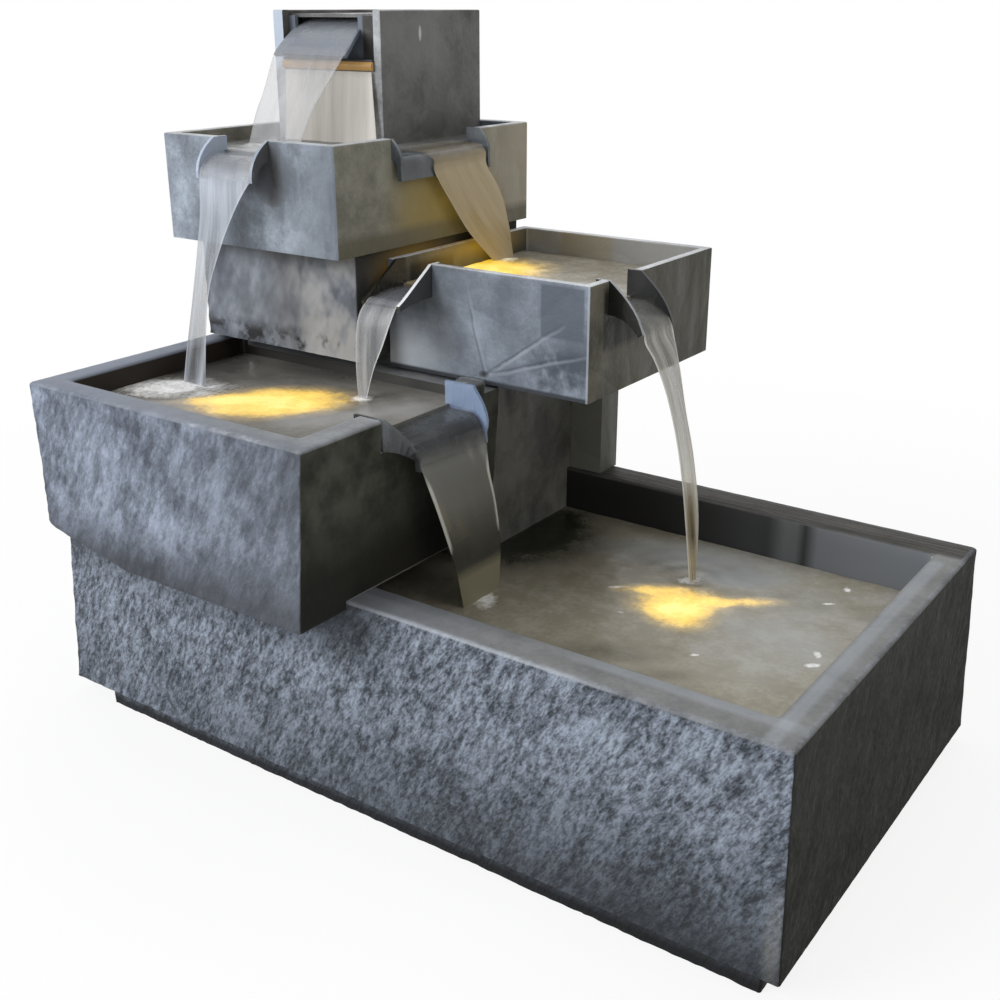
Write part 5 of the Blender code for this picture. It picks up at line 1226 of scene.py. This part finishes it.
# Running water. Each stream slides over its spout as a film and falls as a thin ribbon, drawn out into long
# streaks that are clearer between and whiter at the two edges as painted highlight.
def stream_finish(name, clear, white, thin, thick, glow=None, edge=0.25, cover=(0.34, 0.78), shine=None):
    """Streaks that follow the ribbon's own map, which runs across it and along it in metres.

    Over the chute the film is nearly clear. Below the lip its alpha runs from thin to thick where it foams.
    clear is one colour, or a list of (distance along the ribbon, colour). shine gives the stretch of the
    ribbon along which its two edges catch the light."""
    finish = Finish(name, 0.2, 0.35)
    ribbon = finish.node("ShaderNodeUVMap", {"uv_map": "ribbon"})
    share, fall = (
        finish.node("ShaderNodeAttribute", {"attribute_name": label}, output="Fac")
        for label in ("across", "fall")
    )
    streaks = finish.noise(1.0, 3, 0.5, stretch=(0.009, 0.16, 1), at=ribbon)
    threads = finish.noise(1.0, 2, 0.5, stretch=(0.0022, 0.12, 1), at=ribbon)
    # Painted highlight: the ribbon whitens towards its two edges.
    rim = finish.span(share, 0.86, 1.0) ** 2.0
    down = finish.node("ShaderNodeSeparateXYZ", {}, {0: ribbon}, "Y")
    if isinstance(clear, list):
        start, end = clear[0][0], clear[-1][0]
        stops = [((at - start) / (end - start), colour) for at, colour in clear]
        clear = finish.ramp(finish.span(down, start, end), *stops)
    if shine:
        rim = finish.span(share, 0.86, 0.97)
        rim = rim * finish.span(down, shine[0] - 0.010, shine[0] + 0.015)
        rim = rim * finish.span(down, shine[1] + 0.015, shine[1])
    foam = finish.span(streaks * 0.82 + threads * 0.18 + rim * edge, *cover)
    veil = foam * finish.span(fall, 0.0, 1.0, 0.10, 1.0)
    finish.put("Base Color", finish.mix(veil, clear, white))
    body = finish.span(fall, 0.0, 0.8, 0.12, thin)
    finish.put("Alpha", body + veil * (thick - thin))
    finish.put("Roughness", finish.span(veil, 0.0, 1.0, 0.18, 0.45))
    finish.bump(streaks * 0.75 + threads * 0.25, 0.0003)
    if glow:
        finish.glow(finish.mix(foam, (0.0, 0.0, 0.0), glow))
    return finish.material


def smooth_line(knots, stations):
    """Evenly spaced points on a Catmull-Rom curve through the knots."""
    knots = np.array(knots, float)
    ends = np.concatenate([[2 * knots[0] - knots[1]], knots, [2 * knots[-1] - knots[-2]]])
    t = np.linspace(0, 1, 12, endpoint=False)[:, None]
    runs = []
    for a, b, c, d in zip(ends, ends[1:], ends[2:], ends[3:]):
        bend = (2 * a - 5 * b + 4 * c - d) * t**2 + (3 * b - a - 3 * c + d) * t**3
        runs.append(0.5 * (2 * b + (c - a) * t + bend))
    line = np.concatenate([*runs, knots[-1:]])
    length = np.concatenate([[0], np.cumsum(np.linalg.norm(np.diff(line, axis=0), axis=1))])
    at = np.linspace(0, length[-1], stations)
    return np.stack([np.interp(at, length, line[:, k]) for k in range(3)], 1), at


def ribbon(name, left, right, material, lip, thickness=0.0016, stations=90, columns=25, seed=5):
    """A closed thin ribbon between two edge curves. Its skins stand half a thickness off the middle surface,
    which is the straight line across, waved by noise drawn out along the flow. lip is the distance along it
    at which it leaves the chute."""
    edge_a, run = smooth_line(left, stations)
    edge_b, _ = smooth_line(right, stations)
    across = np.linspace(0, 1, columns)
    from_left = across[None, :, None]
    middle = edge_a[:, None] * (1 - from_left) + edge_b[:, None] * from_left
    along = np.gradient(middle, axis=0)
    over = np.gradient(middle, axis=1)
    normal = np.cross(along, over)
    normal /= np.maximum(np.linalg.norm(normal, axis=2, keepdims=True), 1e-9)
    width = np.linalg.norm(edge_b - edge_a, axis=1)
    map_u = across[None, :] * width[:, None]
    map_v = np.repeat(run[:, None], columns, 1)
    wave = lattice_noise(map_u / 0.008 + 40, map_v / 0.06, seed) - 0.5
    fade = np.clip(map_v / 0.03, 0, 1)
    middle = middle + normal * (0.0006 * wave * fade)[..., None]
    full = np.sqrt(np.clip(1 - (2 * across - 1) ** 4, 0.04, 1))[None, :, None]
    front = (middle + normal * full * thickness / 2).reshape(-1, 3)
    back = (middle - normal * full * thickness / 2).reshape(-1, 3)
    index = np.arange(len(front)).reshape(stations, columns)
    quads = np.stack([index[:-1, :-1], index[:-1, 1:], index[1:, 1:], index[1:, :-1]], -1)
    skin = quads.reshape(-1, 4)
    border = np.concatenate([index[0, :-1], index[:-1, -1], index[-1, :0:-1], index[:0:-1, 0]])
    ahead = np.roll(border, -1)
    sides = np.stack([border, border + len(front), ahead + len(front), ahead], -1)
    faces = np.concatenate([skin[:, ::-1], skin + len(front), sides]).tolist()
    made = piece_of(name, np.concatenate([front, back]), faces, material)
    places = np.tile(np.column_stack([map_u.reshape(-1), map_v.reshape(-1)]), (2, 1))
    corners = np.zeros(len(made.data.loops), int)
    made.data.loops.foreach_get("vertex_index", corners)
    layer = made.data.uv_layers.new(name="ribbon")
    layer.data.foreach_set("uv", places[corners].astype(np.float32).reshape(-1))
    edge = np.repeat(np.abs(2 * across - 1)[None, :], stations, 0)
    fall = np.clip((map_v - lip) / 0.02 + 0.5, 0, 1)
    carry(made, across=np.tile(edge.reshape(-1), 2), fall=np.tile(fall.reshape(-1), 2))


def film(side, face, sill, along, radius, sweep, lead=0.022, depth=0.0014, drop=0.0, draw_in=0.0):
    """Points of a film's edge: level over the wall, round the chute's arc and down its drop, one depth above
    the stone. radius and sweep (in degrees) are the arc's, and draw_in is how far the edge has moved along
    the wall at the lip."""
    shares = np.array([0, 0.25, 0.5, 0.75, 1.0])
    turns = np.radians(shares * sweep)
    out = np.concatenate([[-lead, -lead / 2], (radius + depth) * np.sin(turns)])
    up = np.concatenate([[0.0022, 0.0018], (radius + depth) * np.cos(turns) - radius])
    at = along + draw_in * np.concatenate([[0, 0], shares])
    if drop:
        out = np.append(out, out[-1] + drop * math.cos(turns[-1]))
        up = np.append(up, up[-1] - drop * math.sin(turns[-1]))
        at = np.append(at, at[-1])
    if side == "front":
        return [(a, face - o, sill + u) for a, o, u in zip(at, out, up)]
    return [(face + o, a, sill + u) for a, o, u in zip(at, out, up)]


def fall(*points):
    """A falling edge. Each point is (x, distance from the front, height)."""
    return [(x, F + y, z) for x, y, z in points]


grey_stream = stream_finish(
    "grey_stream",
    clear=[(0.05, (0.46, 0.50, 0.57)), (0.12, (0.25, 0.262, 0.27)), (0.19, (0.08, 0.083, 0.076))],
    white=(0.66, 0.70, 0.78),
    thin=0.36,
    thick=0.72,
)
ribbon(
    "upper_front_stream",
    film("front", upper_front, upper_sill, -0.2395, radius=0.019, sweep=80)
    + fall((-0.2377, 0.0884, 0.4459), (-0.2402, 0.0835, 0.4131), (-0.2440, 0.0766, 0.3713))
    + fall((-0.2476, 0.0697, 0.3329), (-0.2491, 0.0643, 0.3045)),
    film("front", upper_front, upper_sill, -0.1815, radius=0.019, sweep=70, draw_in=0.004)
    + fall((-0.1863, 0.0910, 0.4684), (-0.1976, 0.0891, 0.4518), (-0.2107, 0.0855, 0.4258))
    + fall((-0.2232, 0.0799, 0.3904), (-0.2258, 0.0741, 0.3570), (-0.2231, 0.0648, 0.3045)),
    grey_stream,
    lip=0.048,
    seed=7,
)
thin_stream = stream_finish(
    "thin_stream",
    clear=(0.36, 0.37, 0.39),
    white=(0.70, 0.71, 0.72),
    thin=0.28,
    thick=0.80,
    edge=0.6,
    cover=(0.40, 0.85),
)
ribbon(
    "right_front_stream",
    film("front", right_front, right_sill, -0.0997, radius=0.19, sweep=12)
    + fall((-0.1019, 0.1274, 0.3696), (-0.1007, 0.1219, 0.3439), (-0.0977, 0.1183, 0.3196))
    + fall((-0.0946, 0.1162, 0.3034)),
    film("front", right_front, right_sill, -0.0667, radius=0.19, sweep=12)
    + fall((-0.0670, 0.1277, 0.3709), (-0.0725, 0.1234, 0.3520), (-0.0810, 0.1196, 0.3289))
    + fall((-0.0870, 0.1164, 0.3034)),
    thin_stream,
    lip=0.062,
    columns=15,
    seed=9,
)
# Painted lamp light: the stream's lower end is tinted amber where the base lamp lights it.
bright_stream = stream_finish(
    "bright_stream",
    clear=[
        (0.05, (0.22, 0.22, 0.195)),
        (0.13, (0.28, 0.27, 0.23)),
        (0.20, (0.60, 0.56, 0.45)),
        (0.235, (0.30, 0.24, 0.13)),
        (0.255, (0.17, 0.13, 0.06)),
        (0.275, (0.52, 0.42, 0.22)),
        (0.30, (0.46, 0.36, 0.18)),
    ],
    white=(0.84, 0.83, 0.78),
    thin=0.50,
    thick=0.95,
    edge=0.45,
    cover=(0.40, 0.72),
)
ribbon(
    "right_side_stream",
    film("right", right_side, right_sill, F + 0.2085, radius=0.036, sweep=54)
    + fall((0.1246, 0.2046, 0.3642), (0.1285, 0.2149, 0.3474), (0.1332, 0.2292, 0.3153))
    + fall((0.1380, 0.2420, 0.2704), (0.1426, 0.2510, 0.2160), (0.1469, 0.2595, 0.1455)),
    film("right", right_side, right_sill, F + 0.2535, radius=0.036, sweep=54)
    + fall((0.1261, 0.2498, 0.3590), (0.1307, 0.2524, 0.3344), (0.1350, 0.2584, 0.2998))
    + fall((0.1395, 0.2695, 0.2540), (0.1436, 0.2755, 0.2028), (0.1474, 0.2705, 0.1455)),
    bright_stream,
    lip=0.058,
    seed=13,
)
dark_sheet = stream_finish(
    "dark_sheet",
    clear=[
        (0.045, (0.070, 0.072, 0.072)),
        (0.065, (0.26, 0.262, 0.245)),
        (0.105, (0.235, 0.235, 0.215)),
        (0.150, (0.070, 0.072, 0.060)),
        (0.168, (0.060, 0.060, 0.048)),
        (0.180, (0.32, 0.30, 0.20)),
    ],
    white=(0.66, 0.66, 0.61),
    thin=0.72,
    thick=0.96,
    edge=0.80,
    cover=(0.66, 1.10),
    shine=(0.070, 0.140),
)
ribbon(
    "lower_side_sheet",
    film("right", bowl_x[1], lower_sill, F + 0.0385, radius=0.015, sweep=84, drop=0.006, draw_in=0.020)
    + fall((0.0178, 0.0757, 0.2425), (0.0178, 0.0890, 0.2099), (0.0178, 0.1002, 0.1795))
    + fall((0.0178, 0.1085, 0.1455)),
    film("right", bowl_x[1], lower_sill, F + 0.1465, radius=0.015, sweep=84, drop=0.006, draw_in=-0.004)
    + fall((0.0178, 0.1450, 0.2566), (0.0178, 0.1533, 0.2277), (0.0178, 0.1605, 0.1891))
    + fall((0.0178, 0.1590, 0.1455)),
    dark_sheet,
    lip=0.055,
    columns=41,
    seed=17,
)
# Painted lamp light: the stream's amber tint and faint glow stand in for the lamp in the right bowl lighting
# it.
amber_stream = stream_finish(
    "amber_stream",
    clear=(0.46, 0.38, 0.235),
    white=(0.54, 0.475, 0.365),
    thin=0.74,
    thick=0.86,
    glow=(0.04, 0.028, 0.006),
    edge=0.0,
    cover=(0.25, 0.85),
)
ribbon(
    "upper_side_stream",
    film("right", upper_side, upper_sill, F + 0.2150, radius=0.008, sweep=84, drop=0.010, draw_in=0.012)
    + fall((-0.0960, 0.2495, 0.4468), (-0.0960, 0.2710, 0.4224), (-0.0960, 0.2905, 0.4054))
    + fall((-0.0960, 0.3125, 0.3875)),
    film("right", upper_side, upper_sill, F + 0.3000, radius=0.008, sweep=84, drop=0.010, draw_in=0.002)
    + fall((-0.0960, 0.3219, 0.4517), (-0.0960, 0.3348, 0.4212), (-0.0960, 0.3415, 0.3942))
    + fall((-0.0960, 0.3430, 0.3875)),
    amber_stream,
    lip=0.045,
    columns=41,
    seed=19,
)
pale_sheet = stream_finish(
    "pale_sheet",
    clear=(0.44, 0.445, 0.46),
    white=(0.58, 0.58, 0.59),
    thin=0.26,
    thick=0.50,
    edge=0.15,
    cover=(0.30, 0.90),
)
crest_y, arc_middle, arc_radius, arc_sweep = F + 0.285, 0.4975, 0.104, 46


def slide(side):
    """A film edge down the spillway's arc. The right one draws in towards the crest as the chute does."""
    turns = np.radians([-4, 6, 18, 30, 42, arc_sweep])
    shares = np.clip(turns / math.radians(arc_sweep), 0, 1)
    edge = {
        "left": np.full(len(turns), -0.2612),
        "right": -0.1790 - 0.025 * (1 - shares) ** 1.5,
    }[side]
    return list(zip(edge, crest_y - arc_radius * np.sin(turns), arc_middle + arc_radius * np.cos(turns)))


ribbon(
    "top_sheet",
    slide("left")
    + fall((-0.2585, 0.1922, 0.5394), (-0.2640, 0.1861, 0.5202), (-0.2700, 0.1810, 0.4950)),
    slide("right")
    + fall((-0.1874, 0.1936, 0.5434), (-0.1977, 0.1871, 0.5239), (-0.2090, 0.1810, 0.4950)),
    pale_sheet,
    lip=0.093,
    columns=41,
    seed=29,
)
# Painted light: the weep glows pale, standing in for the light bar shining through it.
weep_sheet = stream_finish(
    "weep_sheet",
    clear=(0.56, 0.535, 0.485),
    white=(0.62, 0.60, 0.56),
    thin=0.78,
    thick=0.86,
    glow=(0.235, 0.222, 0.198),
    edge=0.0,
    cover=(0.10, 0.90),
)
ribbon(
    "light_bar_weep",
    fall((-0.2660, 0.2275, 0.5555), (-0.2665, 0.2260, 0.5300), (-0.2670, 0.2240, 0.4950)),
    fall((-0.1645, 0.2275, 0.5555), (-0.1620, 0.2260, 0.5300), (-0.1580, 0.2240, 0.4950)),
    weep_sheet,
    lip=0.0,
    columns=41,
    seed=31,
)
